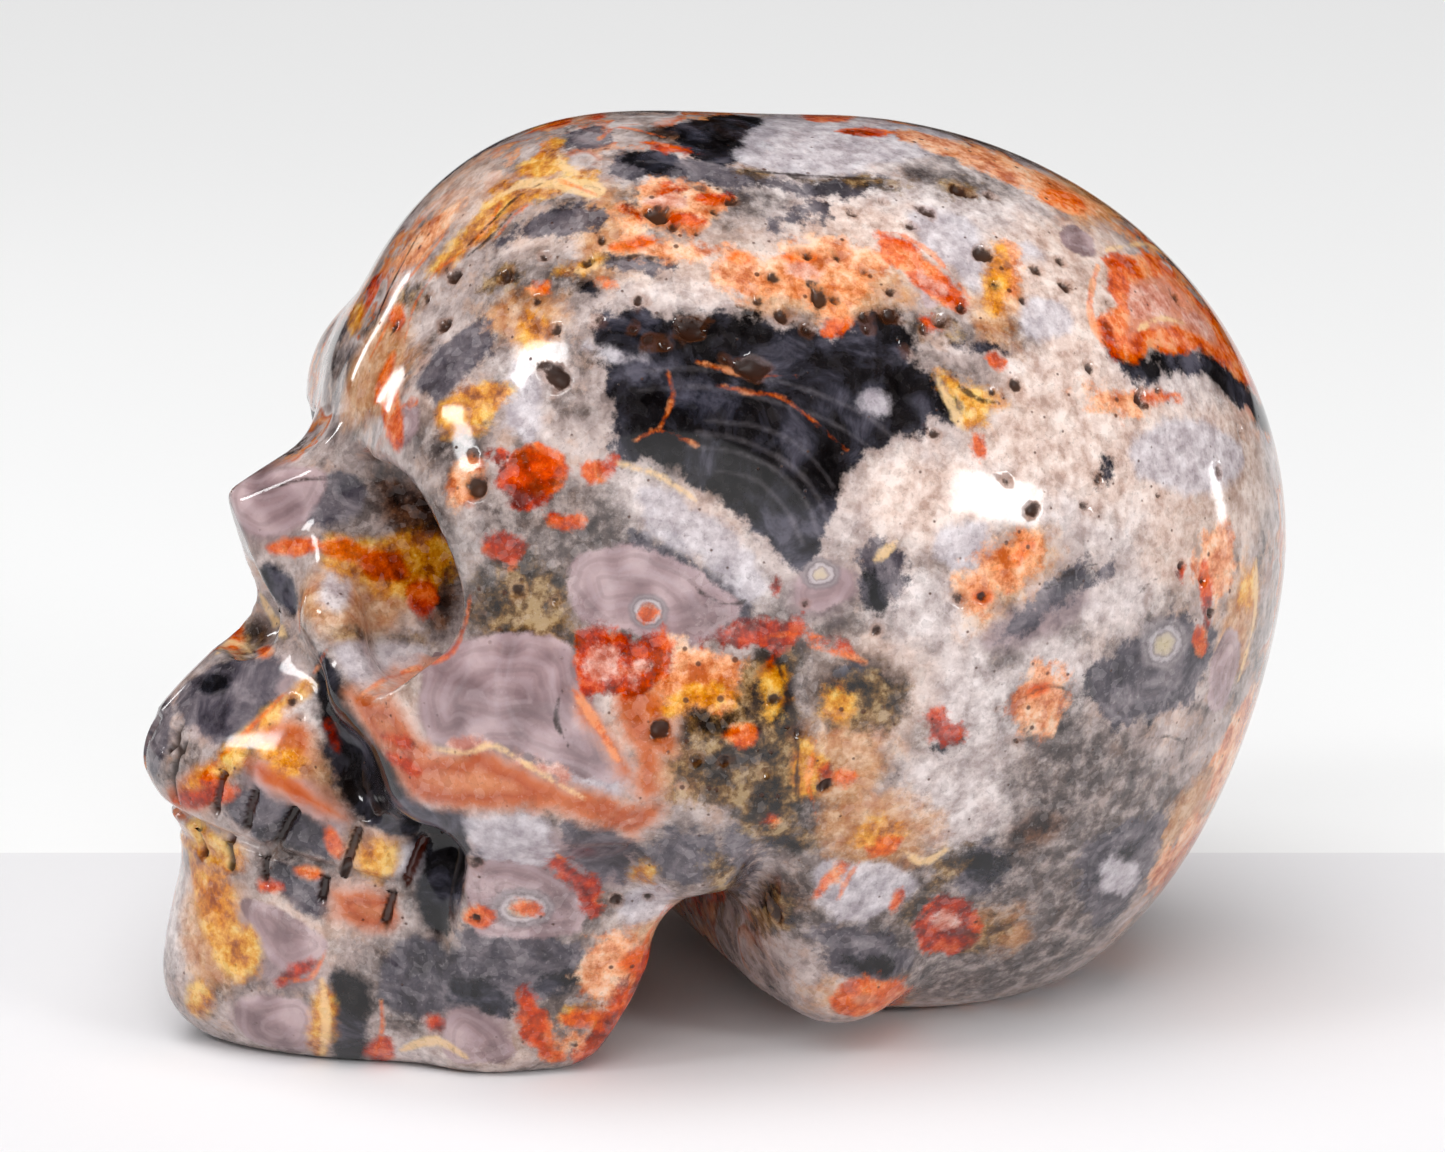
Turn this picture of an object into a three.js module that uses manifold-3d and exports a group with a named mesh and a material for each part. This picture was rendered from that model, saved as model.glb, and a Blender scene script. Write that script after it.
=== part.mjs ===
// A polished stone skull carving, about 97 mm long, cut from one piece of banded agate.
// Units are millimetres. The face looks towards -Y, the skull's left side is +X and +Z is up.
// It rests on its jaw and on the base of the cranium, which are both cut flat at z = 0.
//
// The form is an ordered list of modelling strokes. Each stroke is a signed distance, negative
// inside, that is added to the stone or cut from it with a soft edge. The form is then meshed,
// and the base, the bite line, the gaps between the teeth and the larger pits are cut cleanly.
import * as THREE from 'three';
import { mergeVertices } from 'three/addons/utils/BufferGeometryUtils.js';
import Module from 'manifold-3d';

// Cranium, from the front of the forehead to the back of the head.
const CRANIUM_LENGTH = 81;
const CRANIUM_WIDTH = 67;
const CRANIUM_HEIGHT = 72;
const CRANIUM_CENTRE = [0, 8, 37.5];

// The two jaws, as one column: height, front, half width, centre and power of the plan oval.
// A power of 2 is an ellipse, and a lower one makes the chin more pointed.
const JAWS = [
  { z: -2.0, front: -42.0, half: 15.5, centre: -12, power: 1.6 },
  { z: 1.0, front: -45.2, half: 17.3, centre: -12, power: 1.65 },
  { z: 3.3, front: -46.8, half: 18.2, centre: -13, power: 1.7 },
  { z: 5.7, front: -47.3, half: 18.3, centre: -14, power: 1.75 },
  { z: 8.4, front: -47.0, half: 18.0, centre: -16, power: 1.8 },
  { z: 11.7, front: -46.2, half: 17.4, centre: -18, power: 1.9 },
  { z: 14.2, front: -45.5, half: 17.3, centre: -20, power: 2.0 },
  { z: 17.0, front: -45.6, half: 17.6, centre: -21, power: 2.0 },
  { z: 20.0, front: -47.2, half: 18.0, centre: -21, power: 1.9 },
  { z: 23.5, front: -48.7, half: 17.8, centre: -21, power: 1.8 },
  { z: 26.1, front: -48.1, half: 17.0, centre: -21, power: 1.7 },
  { z: 29.2, front: -45.6, half: 15.5, centre: -20, power: 1.7 },
  { z: 32.2, front: -42.3, half: 13.5, centre: -20, power: 1.8 },
  { z: 36.0, front: -38.5, half: 12.0, centre: -20, power: 2.0 },
];
const JAWS_TOP = 35;
const JAWS_TOP_BLEND = 3;

// Teeth. The bite plane falls towards the back, and the rows have these heights on it.
const BITE_Z = 19.5;
const BITE_FRONT_Y = -45.6;
const BITE_FALL = 0.25;
const BITE_WIDTH = 0.7;
const BITE_DEPTH = 0.8;
const BITE_REACH = 66;
const BITE_STEP = 6;
const UPPER_TOOTH_RISE = 4.6;
const LOWER_TOOTH_DROP = 3.0;
const TOOTH_GAP_WIDTH = 0.9;
const TOOTH_GAP_DEPTH = 0.7;
const ARCH_CENTRE_Y = -22;
// Gaps between teeth, in degrees from the middle of the face about the centre of the arch.
const UPPER_GAPS = [0, 7.6, 12.3, 21, 27, 34, 48.5, 63];
const LOWER_GAPS = [0, 10.3, 19.4, 27.7, 41.2, 56.4];

// Larger pits in the stone: where a line from the middle of the cranium, turned this far round
// from the face towards the left side and raised this far, meets the surface, and its radius.
const PITS = [
  { round: 34.3, up: 15.3, radius: 0.9 },
  { round: 39.0, up: 27.9, radius: 1.0 },
  { round: 44.6, up: 49.4, radius: 1.1 },
  { round: 53.9, up: 35.9, radius: 1.0 },
  { round: 62.9, up: 32.5, radius: 0.9 },
  { round: 71.9, up: 43.5, radius: 0.9 },
  { round: 107.3, up: 50.9, radius: 0.9 },
  { round: 147.6, up: 35.8, radius: 0.9 },
  { round: 205, up: 40, radius: 1.0 },
  { round: 290, up: 30, radius: 1.0 },
];

// The rounded foot, and the flat cut just above its lowest point.
const FOOT_BLEND = 2.5;
const FOOT_DIP = 0.3;
const FLOOR_CUTTER = { width: 120, length: 140, depth: 20 };
const TOOL_REACH = 4;

// The meshing grid: fine over the face, coarser over the cranium.
const FINE_STEP = 2.1;
const COARSE_STEP = 4.3;
const ACROSS_STEP = 3.9;
const FACE_BACK_Y = -12;
const FACE_TOP_Z = 53;
const FACE_NARROWING = 0.52;
const GRID = { side: 36, front: -51, back: 51, bottom: -3, top: 76 };
const CORNER_SOFTNESS = 0.08;

// How the surface is found along a line or from a point near it.
const SLOPE_STEP = 0.05;
const SETTLE_PASSES = 4;
const SETTLE_STEP = 0.4;
const LEAST_SLOPE = 0.05;
const LINE_REACH = 50;
const LINE_PASSES = 30;
const TINY = 1e-9;
const SAME_POINT = 1e-4;

const clamp = THREE.MathUtils.clamp;
const smooth = (t) => THREE.MathUtils.smoothstep(t, 0, 1);
const radians = THREE.MathUtils.degToRad;

// Soft joining of two distances: `blend` is how wide the fillet between them is.
function softMin(a, b, blend) {
  const near = Math.max(blend - Math.abs(a - b), 0) / blend;
  return Math.min(a, b) - near * near * blend / 4;
}

const softMax = (a, b, blend) => -softMin(-a, -b, blend);

// Shapes. Each one returns a function of x, y and z that gives the distance to its surface.
function egg({ at, radii, turn = 0 }) {
  const cos = Math.cos(radians(turn));
  const sin = Math.sin(radians(turn));
  const [rx, ry, rz] = radii;
  return (x, y, z) => {
    const dx = x - at[0];
    const dy = y - at[1];
    const qx = cos * dx + sin * dy;
    const qy = cos * dy - sin * dx;
    const qz = z - at[2];
    const scaled = Math.hypot(qx / rx, qy / ry, qz / rz) + TINY;
    const steepness = Math.hypot(qx / (rx * rx), qy / (ry * ry), qz / (rz * rz)) + TINY;
    return scaled * (scaled - 1) / steepness;
  };
}

function limb({ from, to, radius, endRadius = radius }) {
  const along = to.map((value, i) => value - from[i]);
  const lengthSquared = along[0] ** 2 + along[1] ** 2 + along[2] ** 2;
  return (x, y, z) => {
    const px = x - from[0];
    const py = y - from[1];
    const pz = z - from[2];
    const t = clamp((px * along[0] + py * along[1] + pz * along[2]) / lengthSquared, 0, 1);
    const gap = Math.hypot(px - t * along[0], py - t * along[1], pz - t * along[2]);
    return gap - radius - smooth(t) * (endRadius - radius);
  };
}

function roundedBlock({ at, half, corner }) {
  return (x, y, z) => {
    const qx = Math.abs(x - at[0]) - half[0] + corner;
    const qy = Math.abs(y - at[1]) - half[1] + corner;
    const qz = Math.abs(z - at[2]) - half[2] + corner;
    const outside = Math.hypot(Math.max(qx, 0), Math.max(qy, 0), Math.max(qz, 0));
    return outside + Math.min(Math.max(qx, qy, qz), 0) - corner;
  };
}

// An upright plate between two points in plan, with its own half height at each end.
function plate({ from, to, half, endHalf, thick, corner }) {
  const ax = to[0] - from[0];
  const ay = to[1] - from[1];
  return (x, y, z) => {
    const px = x - from[0];
    const py = y - from[1];
    const t = clamp((px * ax + py * ay) / (ax * ax + ay * ay), 0, 1);
    const flat = Math.hypot(px - t * ax, py - t * ay) - thick + corner;
    const middle = from[2] + t * (to[2] - from[2]);
    const tall = Math.abs(z - middle) - half - t * (endHalf - half) + corner;
    const outside = Math.hypot(Math.max(flat, 0), Math.max(tall, 0));
    return outside + Math.min(Math.max(flat, tall), 0) - corner;
  };
}

// The space behind a set of flat faces, each given by a point on it and its outward direction.
function facets({ faces, blend }) {
  const planes = faces.map(({ at, out }) => {
    const normal = new THREE.Vector3(...out).normalize();
    return { normal, offset: normal.dot(new THREE.Vector3(...at)) };
  });
  return (x, y, z) => {
    const gaps = planes.map(({ normal, offset }) => normal.x * x + normal.y * y + normal.z * z - offset);
    return gaps.reduce((deepest, gap) => softMax(deepest, gap, blend));
  };
}

// A smooth curve through one measure of the jaw stations, by height.
function stationCurve(measure) {
  const heights = JAWS.map((station) => station.z);
  const values = JAWS.map((station) => station[measure]);
  const last = JAWS.length - 1;
  const slopes = values.map((value, i) => {
    if (i === 0) return (values[1] - value) / (heights[1] - heights[0]);
    if (i === last) return (value - values[last - 1]) / (heights[last] - heights[last - 1]);
    const below = heights[i] - heights[i - 1];
    const above = heights[i + 1] - heights[i];
    const slopeBelow = (value - values[i - 1]) / below;
    const slopeAbove = (values[i + 1] - value) / above;
    return (slopeBelow * above + slopeAbove * below) / (above + below);
  });
  return (height) => {
    const z = clamp(height, heights[0], heights[last]);
    let i = 0;
    while (i < last - 1 && z > heights[i + 1]) i += 1;
    const span = heights[i + 1] - heights[i];
    const t = (z - heights[i]) / span;
    const leave = t * (1 - t) * (1 - t) * span * slopes[i];
    const arrive = t * t * (t - 1) * span * slopes[i + 1];
    return values[i] + smooth(t) * (values[i + 1] - values[i]) + leave + arrive;
  };
}

function jawColumn() {
  const front = stationCurve('front');
  const half = stationCurve('half');
  const centre = stationCurve('centre');
  const power = stationCurve('power');
  return (x, y, z) => {
    const middle = centre(z);
    const p = power(z);
    const across = (Math.abs(x) / half(z)) ** p;
    const along = (Math.abs(y - middle) / (middle - front(z))) ** p;
    const scaled = (across + along + TINY) ** (1 / p);
    const side = Math.hypot(x, y - middle) * (1 - 1 / scaled);
    return softMax(side, z - JAWS_TOP, JAWS_TOP_BLEND);
  };
}

// A shape on both sides of the face, with no crease where they meet in the middle.
const MIDLINE_SOFTNESS = 0.6;
const both = (shape) => (x, y, z) => shape(Math.sqrt(x * x + MIDLINE_SOFTNESS), y, z);
// A shape drawn in the side view, and run right through from side to side.
const through = (shape) => (x, y, z) => shape(0, y, z);

const add = (shape, blend) => (d, x, y, z) => softMin(d, shape(x, y, z), blend);
const cut = (shape, blend) => (d, x, y, z) => softMax(d, -shape(x, y, z), blend);

// Forehead, lower back of the head, and the hollows at the temples.
const cranium = [
  add(egg({ at: [0, -11.5, 49], radii: [26.5, 17.5, 23] }), 12),
  add(egg({ at: [0, 18, 22], radii: [24, 24, 25.5] }), 8),
  cut(both(egg({ at: [44, -19, 43], radii: [14.5, 18, 16] })), 9),
];

const faceCore = [
  add(roundedBlock({ at: [0, -19, 36], half: [17, 12, 14], corner: 6 }), 5),
  add(jawColumn(), 3),
];

// The deep hollow under the cheekbone, beside the upper teeth.
const cheekHollow = [
  cut(both(limb({ from: [12.2, -38.4, 32.5], to: [15.5, -33.5, 25.5], radius: 2.2, endRadius: 3.8 })), 1.5),
  cut(both(limb({ from: [15.5, -33.5, 25.5], to: [21.5, -26, 23], radius: 3.8, endRadius: 4.4 })), 1.5),
];

// The upright part of the lower jaw, and the hollow between it and the back teeth.
const ramusFaces = [
  { at: [21.8, -22, 15], out: [0.96, -0.08, -0.27] },
  { at: [20.5, -28.2, 15], out: [0.4, -0.9, -0.16] },
  { at: [20, -8, 15], out: [0.1, 0.99, 0] },
  { at: [18, -20, 27], out: [0, 0, 1] },
  { at: [11, -20, 15], out: [-1, 0, 0] },
];
const ramus = [
  add(both(facets({ faces: ramusFaces, blend: 3.5 })), 3),
  cut(both(limb({ from: [19, -29.2, 22], to: [18.6, -30.6, 13.5], radius: 3.3, endRadius: 2.4 })), 1.5),
];

const cheekbonePlates = [
  { from: [13.2, -33.4, 31.8], to: [18.6, -28.8, 29.3], half: 2.5, endHalf: 6, thick: 2.4, corner: 1.8 },
  { from: [18.6, -28.8, 29.3], to: [23.2, -21, 28.8], half: 6, endHalf: 5.4, thick: 3, corner: 1.8 },
  { from: [23.2, -21, 28.8], to: [26, -8, 26.5], half: 5.4, endHalf: 3.6, thick: 3, corner: 2 },
];
const cheekboneBlends = [2, 5, 8];
const cheekbone = cheekbonePlates.map((each, i) => add(both(plate(each)), cheekboneBlends[i]));

// The ridge over the eye, and the post down its outer side.
const brow = [
  add(both(limb({ from: [4, -26.2, 52.5], to: [15, -25.3, 51.5], radius: 3, endRadius: 3.2 })), 6),
  add(both(limb({ from: [15, -24.6, 51], to: [18.8, -22.8, 45], radius: 4, endRadius: 5.2 })), 6),
  add(both(limb({ from: [18.8, -22.8, 45], to: [18.8, -23, 34], radius: 5.2 })), 6),
];

const eyeSocket = [
  cut(both(egg({ at: [14.2, -31.5, 40.3], radii: [9.4, 12.5, 8.8], turn: 22 })), 1.2),
  cut(both(egg({ at: [8.2, -31, 44.6], radii: [5.2, 8, 4.6] })), 1.5),
];

// The nose bone is a wedge with flat sides, a rounded ridge and a front that slants back.
const noseBone = both(facets({
  faces: [
    { at: [1.6, -41, 45], out: [0.9, -0.42, 0.16] },
    { at: [0, -31.8, 49.6], out: [0, -0.41, 0.91] },
    { at: [0, -22, 0], out: [0, 1, 0] },
    { at: [0, 0, 31], out: [0, 0, -1] },
  ],
  blend: 2,
}));
const noseFront = facets({ faces: [{ at: [0, -41.2, 45], out: [0, -0.95, -0.31] }], blend: 1 });
const NOSE_EDGE_BLEND = 0.8;
const nose = [
  add((x, y, z) => softMax(noseBone(x, y, z), noseFront(x, y, z), NOSE_EDGE_BLEND), 2.5),
  add(both(limb({ from: [5, -34.6, 40.5], to: [9, -34.9, 36.2], radius: 0.8, endRadius: 1.5 })), 4),
  add(both(limb({ from: [9, -34.9, 36.2], to: [13.8, -33, 29.8], radius: 1.5, endRadius: 1.6 })), 2.5),
  cut(limb({ from: [0, -43, 40.5], to: [0, -40, 35.5], radius: 1.6, endRadius: 3.6 }), 1),
  cut(both(limb({ from: [0, -40, 35.5], to: [2.2, -40, 34.5], radius: 3.2, endRadius: 2.8 })), 1),
];

// The jaw's hinge, the rounded front of the skull base, the bump behind the hinge, the way
// through under the skull, and the groove between the hinge and the bump.
const underside = [
  add(both(egg({ at: [23.2, -9.6, 19.8], radii: [4.6, 5, 4.4] })), 2),
  cut(through(limb({ from: [0, 0.5, -8], to: [0, 0.5, -7], radius: 9.5 })), 4),
  add(both(limb({ from: [20, 0.5, 18], to: [18.6, 4, 7.6], radius: 6.5, endRadius: 5.2 })), 5),
  cut(through(limb({ from: [0, -7.8, -4], to: [0, -7.5, 10.3], radius: 9.2, endRadius: 4.3 })), 3),
  cut(both(limb({ from: [31, -5.2, 20], to: [21, -5.2, 13], radius: 1.4 })), 1.5),
];

const firstStroke = egg({
  at: CRANIUM_CENTRE,
  radii: [CRANIUM_WIDTH / 2, CRANIUM_LENGTH / 2, CRANIUM_HEIGHT / 2],
});
const strokes = [
  ...cranium,
  ...faceCore,
  ...cheekHollow,
  ...ramus,
  ...cheekbone,
  ...brow,
  ...eyeSocket,
  ...nose,
  ...underside,
];

function form(x, y, z) {
  const solid = strokes.reduce((d, stroke) => stroke(d, x, y, z), firstStroke(x, y, z));
  return softMax(solid, -z - FOOT_DIP, FOOT_BLEND);
}

function slope(x, y, z) {
  const h = SLOPE_STEP;
  return new THREE.Vector3(
    form(x + h, y, z) - form(x - h, y, z),
    form(x, y + h, z) - form(x, y - h, z),
    form(x, y, z + h) - form(x, y, z - h),
  ).divideScalar(2 * h);
}

// Moves a point along the slope of the form until it lies on the surface.
function settle(point) {
  for (let pass = 0; pass < SETTLE_PASSES; pass += 1) {
    const direction = slope(point.x, point.y, point.z);
    const distance = form(point.x, point.y, point.z) / Math.max(direction.lengthSq(), LEAST_SLOPE);
    point.addScaledVector(direction, -clamp(distance, -SETTLE_STEP, SETTLE_STEP));
  }
  return point;
}

// The last point inside the stone on a line that starts inside it.
function surfaceAlong(start, direction) {
  let inside = 0;
  let outside = LINE_REACH;
  for (let pass = 0; pass < LINE_PASSES; pass += 1) {
    const middle = (inside + outside) / 2;
    const at = start.clone().addScaledVector(direction, middle);
    if (form(at.x, at.y, at.z) < 0) inside = middle;
    else outside = middle;
  }
  return start.clone().addScaledVector(direction, inside);
}

// The corner of the mesh for one grid cell, from the points where the surface crosses the
// cell's edges: the point that lies nearest to the planes of the surface at those crossings.
// It falls on the rim of a hollow or along a ridge, so these come out clean.
function cornerPoint(crossings, cell) {
  const mean = crossings.reduce((sum, point) => sum.add(point), new THREE.Vector3());
  mean.divideScalar(crossings.length);
  const sums = new Array(9).fill(0);
  const pull = new THREE.Vector3();
  for (const point of crossings) {
    const normal = slope(point.x, point.y, point.z).normalize();
    const n = normal.toArray();
    for (let at = 0; at < sums.length; at += 1) sums[at] += n[Math.floor(at / 3)] * n[at % 3];
    pull.addScaledVector(normal, normal.dot(point) - normal.dot(mean));
  }
  for (const diagonal of [0, 4, 8]) sums[diagonal] += CORNER_SOFTNESS;
  const solve = new THREE.Matrix3().set(...sums).invert();
  const corner = pull.applyMatrix3(solve).add(mean);
  return settle(cell.clampPoint(corner, corner));
}

// Grid lines from start to end, with one step size before a limit and another after it.
function gridLines(start, end, limit, stepBefore, stepAfter) {
  const lines = [start];
  while (lines.at(-1) < end) {
    const step = lines.at(-1) < limit ? stepBefore : stepAfter;
    lines.push(lines.at(-1) + step);
  }
  return lines;
}

// The grid closes in towards the face, so that its cells are smallest there.
function narrowing(y) {
  const away = smooth((y - GRID.front) / (FACE_BACK_Y - GRID.front));
  return FACE_NARROWING + (1 - FACE_NARROWING) * away;
}

// The form measured at every node of the grid.
function measuredGrid() {
  const halfCount = Math.ceil(GRID.side / ACROSS_STEP);
  const across = Array.from({ length: 2 * halfCount + 2 }, (_, i) => (i - halfCount - 0.5) * ACROSS_STEP);
  const ys = gridLines(GRID.front, GRID.back, FACE_BACK_Y, FINE_STEP, COARSE_STEP);
  const zs = gridLines(GRID.bottom, GRID.top, FACE_TOP_Z, FINE_STEP, COARSE_STEP);
  const size = [across.length, ys.length, zs.length];
  const node = (i, j, k) => (k * size[1] + j) * size[0] + i;
  const place = (i, j, k) => new THREE.Vector3(across[i] * narrowing(ys[j]), ys[j], zs[k]);
  const values = new Float64Array(size[0] * size[1] * size[2]);
  for (let k = 0; k < size[2]; k += 1) {
    for (let j = 0; j < size[1]; j += 1) {
      for (let i = 0; i < size[0]; i += 1) {
        const at = place(i, j, k);
        values[node(i, j, k)] = form(at.x, at.y, at.z);
      }
    }
  }
  return { size, node, place, values };
}

// The twelve edges of a grid cell, as pairs of its corners. Bits 0, 1 and 2 of a corner's
// number say whether it is at the far end of the cell in x, y and z.
function cellEdges() {
  const edges = [];
  for (let near = 0; near < 8; near += 1) {
    for (const bit of [1, 2, 4]) {
      if (!(near & bit)) edges.push([near, near | bit]);
    }
  }
  return edges;
}

function cellCorner(i, j, k, number) {
  return [i + (number & 1), j + ((number >> 1) & 1), k + ((number >> 2) & 1)];
}

// One mesh corner in each grid cell that the surface crosses.
function meshCorners({ size, node, place, values }) {
  const edges = cellEdges();
  const points = [];
  const pointOfCell = new Map();
  for (let k = 0; k < size[2] - 1; k += 1) {
    for (let j = 0; j < size[1] - 1; j += 1) {
      for (let i = 0; i < size[0] - 1; i += 1) {
        const crossings = [];
        for (const [a, b] of edges) {
          const from = cellCorner(i, j, k, a);
          const to = cellCorner(i, j, k, b);
          const fromValue = values[node(...from)];
          const toValue = values[node(...to)];
          if ((fromValue < 0) !== (toValue < 0)) {
            crossings.push(place(...from).lerp(place(...to), fromValue / (fromValue - toValue)));
          }
        }
        if (crossings.length === 0) continue;
        const cell = new THREE.Box3().setFromPoints([
          place(i, j, k),
          place(i + 1, j, k),
          place(i, j + 1, k),
          place(i + 1, j + 1, k + 1),
        ]);
        pointOfCell.set(node(i, j, k), points.length);
        points.push(cornerPoint(crossings, cell));
      }
    }
  }
  return { points, pointOfCell };
}

// Two triangles for a four-sided face, split along the diagonal that lies closer to the form.
function splitFace(quad, points) {
  const [a, b, c, d] = quad.map((index) => points[index]);
  const off = (p, q) => Math.abs(form((p.x + q.x) / 2, (p.y + q.y) / 2, (p.z + q.z) / 2));
  const order = off(a, c) < off(b, d) ? [0, 1, 2, 0, 2, 3] : [0, 1, 3, 1, 2, 3];
  return order.map((at) => quad[at]);
}

// Meshes the form, with a four-sided face around each grid edge that the surface crosses.
function meshForm() {
  const grid = measuredGrid();
  const { size, node, values } = grid;
  const { points, pointOfCell } = meshCorners(grid);
  const axisTurns = [[0, 1, 2], [1, 2, 0], [2, 0, 1]];
  const cellsAround = [[0, 0], [-1, 0], [-1, -1], [0, -1]];
  const triangles = [];
  for (let k = 1; k < size[2] - 1; k += 1) {
    for (let j = 1; j < size[1] - 1; j += 1) {
      for (let i = 1; i < size[0] - 1; i += 1) {
        for (const [along, side, other] of axisTurns) {
          const next = [i, j, k];
          next[along] += 1;
          const inside = values[node(i, j, k)] < 0;
          if (inside === (values[node(...next)] < 0)) continue;
          const quad = cellsAround.map(([sideStep, otherStep]) => {
            const cell = [i, j, k];
            cell[side] += sideStep;
            cell[other] += otherStep;
            return pointOfCell.get(node(...cell));
          });
          triangles.push(...splitFace(inside ? quad : quad.reverse(), points));
        }
      }
    }
  }
  const geometry = new THREE.BufferGeometry();
  const positions = points.flatMap((point) => point.toArray());
  geometry.setAttribute('position', new THREE.Float32BufferAttribute(positions, 3));
  geometry.setIndex(triangles);
  return geometry;
}

const wasm = await Module();
wasm.setup();

function solidOf(geometry) {
  const bare = geometry.clone();
  bare.deleteAttribute('normal');
  bare.deleteAttribute('uv');
  const merged = mergeVertices(bare, SAME_POINT);
  return new wasm.Manifold(new wasm.Mesh({
    numProp: 3,
    vertProperties: new Float32Array(merged.attributes.position.array),
    triVerts: new Uint32Array(merged.index.array),
  }));
}

function geometryOf(solid) {
  const mesh = solid.getMesh();
  const geometry = new THREE.BufferGeometry();
  geometry.setAttribute('position', new THREE.Float32BufferAttribute(mesh.vertProperties, 3));
  geometry.setIndex(Array.from(mesh.triVerts));
  return geometry;
}

function archDirection(degrees) {
  return new THREE.Vector3(Math.sin(radians(degrees)), -Math.cos(radians(degrees)), 0);
}

// A point on the face of the teeth, at this height above the sloping bite plane. The plane's
// height depends on how far forward the point is, so the search is repeated.
function toothFace(degrees, rise) {
  let at = new THREE.Vector3(0, BITE_FRONT_Y, 0);
  for (let pass = 0; pass < 3; pass += 1) {
    const height = BITE_Z - BITE_FALL * (at.y - BITE_FRONT_Y) + rise;
    at = surfaceAlong(new THREE.Vector3(0, ARCH_CENTRE_Y, height), archDirection(degrees));
  }
  return at;
}

// The bite line: a thin horseshoe blade, laid in the sloping bite plane.
function biteBlade() {
  const inner = [];
  const outer = [];
  for (let degrees = -BITE_REACH; degrees <= BITE_REACH; degrees += BITE_STEP) {
    const face = toothFace(degrees, 0);
    const out = archDirection(degrees);
    inner.push(face.clone().addScaledVector(out, -BITE_DEPTH));
    outer.push(face.clone().addScaledVector(out, TOOL_REACH));
  }
  const outline = [...inner, ...outer.reverse()].map((point) => new THREE.Vector2(point.x, point.y));
  const blade = new THREE.ExtrudeGeometry(new THREE.Shape(outline), {
    depth: BITE_WIDTH,
    bevelEnabled: false,
  });
  blade.translate(0, -BITE_FRONT_Y, -BITE_WIDTH / 2);
  blade.applyMatrix4(new THREE.Matrix4().makeShear(0, 0, 0, -BITE_FALL, 0, 0));
  blade.translate(0, BITE_FRONT_Y, BITE_Z);
  return blade;
}

// A saw cut between two teeth, from one height above the bite plane to another.
function toothGap(degrees, fromRise, toRise) {
  const low = toothFace(degrees, fromRise);
  const high = toothFace(degrees, toRise);
  const up = high.clone().sub(low);
  const saw = new THREE.BoxGeometry(TOOTH_GAP_WIDTH, TOOL_REACH, up.length());
  up.normalize();
  const across = new THREE.Vector3().crossVectors(archDirection(degrees), up).normalize();
  const out = new THREE.Vector3().crossVectors(up, across);
  const middle = low.add(high).multiplyScalar(0.5);
  middle.addScaledVector(out, TOOL_REACH / 2 - TOOTH_GAP_DEPTH);
  saw.applyMatrix4(new THREE.Matrix4().makeBasis(across, out, up).setPosition(middle));
  return saw;
}

const onBothSides = (angles) => angles.flatMap((angle) => (angle === 0 ? [0] : [angle, -angle]));

function pit({ round, up, radius }) {
  const level = Math.cos(radians(up));
  const direction = archDirection(round).multiplyScalar(level).setZ(Math.sin(radians(up)));
  const at = surfaceAlong(new THREE.Vector3(...CRANIUM_CENTRE), direction);
  const ball = new THREE.IcosahedronGeometry(radius, 1);
  ball.translate(at.x, at.y, at.z);
  return ball;
}

function floorCutter() {
  const { width, length, depth } = FLOOR_CUTTER;
  const floor = new THREE.BoxGeometry(width, length, depth);
  floor.translate(0, 0, -depth / 2);
  return floor;
}

// The finished solid, with its box centred on x = 0 and y = 0.
function carveSkull() {
  const tools = [
    floorCutter(),
    biteBlade(),
    ...onBothSides(UPPER_GAPS).map((degrees) => toothGap(degrees, 0, UPPER_TOOTH_RISE)),
    ...onBothSides(LOWER_GAPS).map((degrees) => toothGap(degrees, -LOWER_TOOTH_DROP, 0)),
    ...PITS.map(pit),
  ];
  const carved = tools.reduce((stone, tool) => stone.subtract(solidOf(tool)), solidOf(meshForm()));
  const geometry = geometryOf(carved);
  geometry.computeBoundingBox();
  const { min, max } = geometry.boundingBox;
  geometry.translate(-(min.x + max.x) / 2, -(min.y + max.y) / 2, 0);
  return geometry;
}

const agate = new THREE.MeshStandardMaterial({ color: 0xb9aaa4, roughness: 0.12, metalness: 0 });
const skull = new THREE.Mesh(carveSkull(), agate);
skull.name = 'skull';

const carving = new THREE.Group();
carving.add(skull);

export default carving;
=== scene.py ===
"""A polished crazy lace agate skull: its fine surface, its markings, and the studio around it."""
import math

import bpy
import numpy as np
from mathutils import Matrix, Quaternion, Vector


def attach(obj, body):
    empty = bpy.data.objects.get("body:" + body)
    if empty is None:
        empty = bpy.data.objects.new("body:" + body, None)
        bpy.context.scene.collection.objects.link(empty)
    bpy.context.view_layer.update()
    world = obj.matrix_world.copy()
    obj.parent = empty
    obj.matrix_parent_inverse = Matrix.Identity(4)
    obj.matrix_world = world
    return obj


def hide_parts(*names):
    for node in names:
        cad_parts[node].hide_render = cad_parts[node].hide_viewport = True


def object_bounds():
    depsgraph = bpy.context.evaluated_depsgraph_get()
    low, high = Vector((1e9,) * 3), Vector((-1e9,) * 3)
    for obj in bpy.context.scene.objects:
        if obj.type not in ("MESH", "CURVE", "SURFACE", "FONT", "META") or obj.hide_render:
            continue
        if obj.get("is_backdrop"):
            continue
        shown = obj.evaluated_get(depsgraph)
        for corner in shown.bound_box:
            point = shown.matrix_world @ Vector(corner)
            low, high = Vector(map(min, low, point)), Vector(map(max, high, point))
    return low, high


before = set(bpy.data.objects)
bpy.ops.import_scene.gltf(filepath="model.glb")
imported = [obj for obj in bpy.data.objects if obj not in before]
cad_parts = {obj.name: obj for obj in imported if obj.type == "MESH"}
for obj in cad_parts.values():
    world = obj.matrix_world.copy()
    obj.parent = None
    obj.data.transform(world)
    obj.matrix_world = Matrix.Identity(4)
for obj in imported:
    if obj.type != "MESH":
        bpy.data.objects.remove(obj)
CAD_LOW, CAD_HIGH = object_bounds()
MM = 0.001

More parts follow.
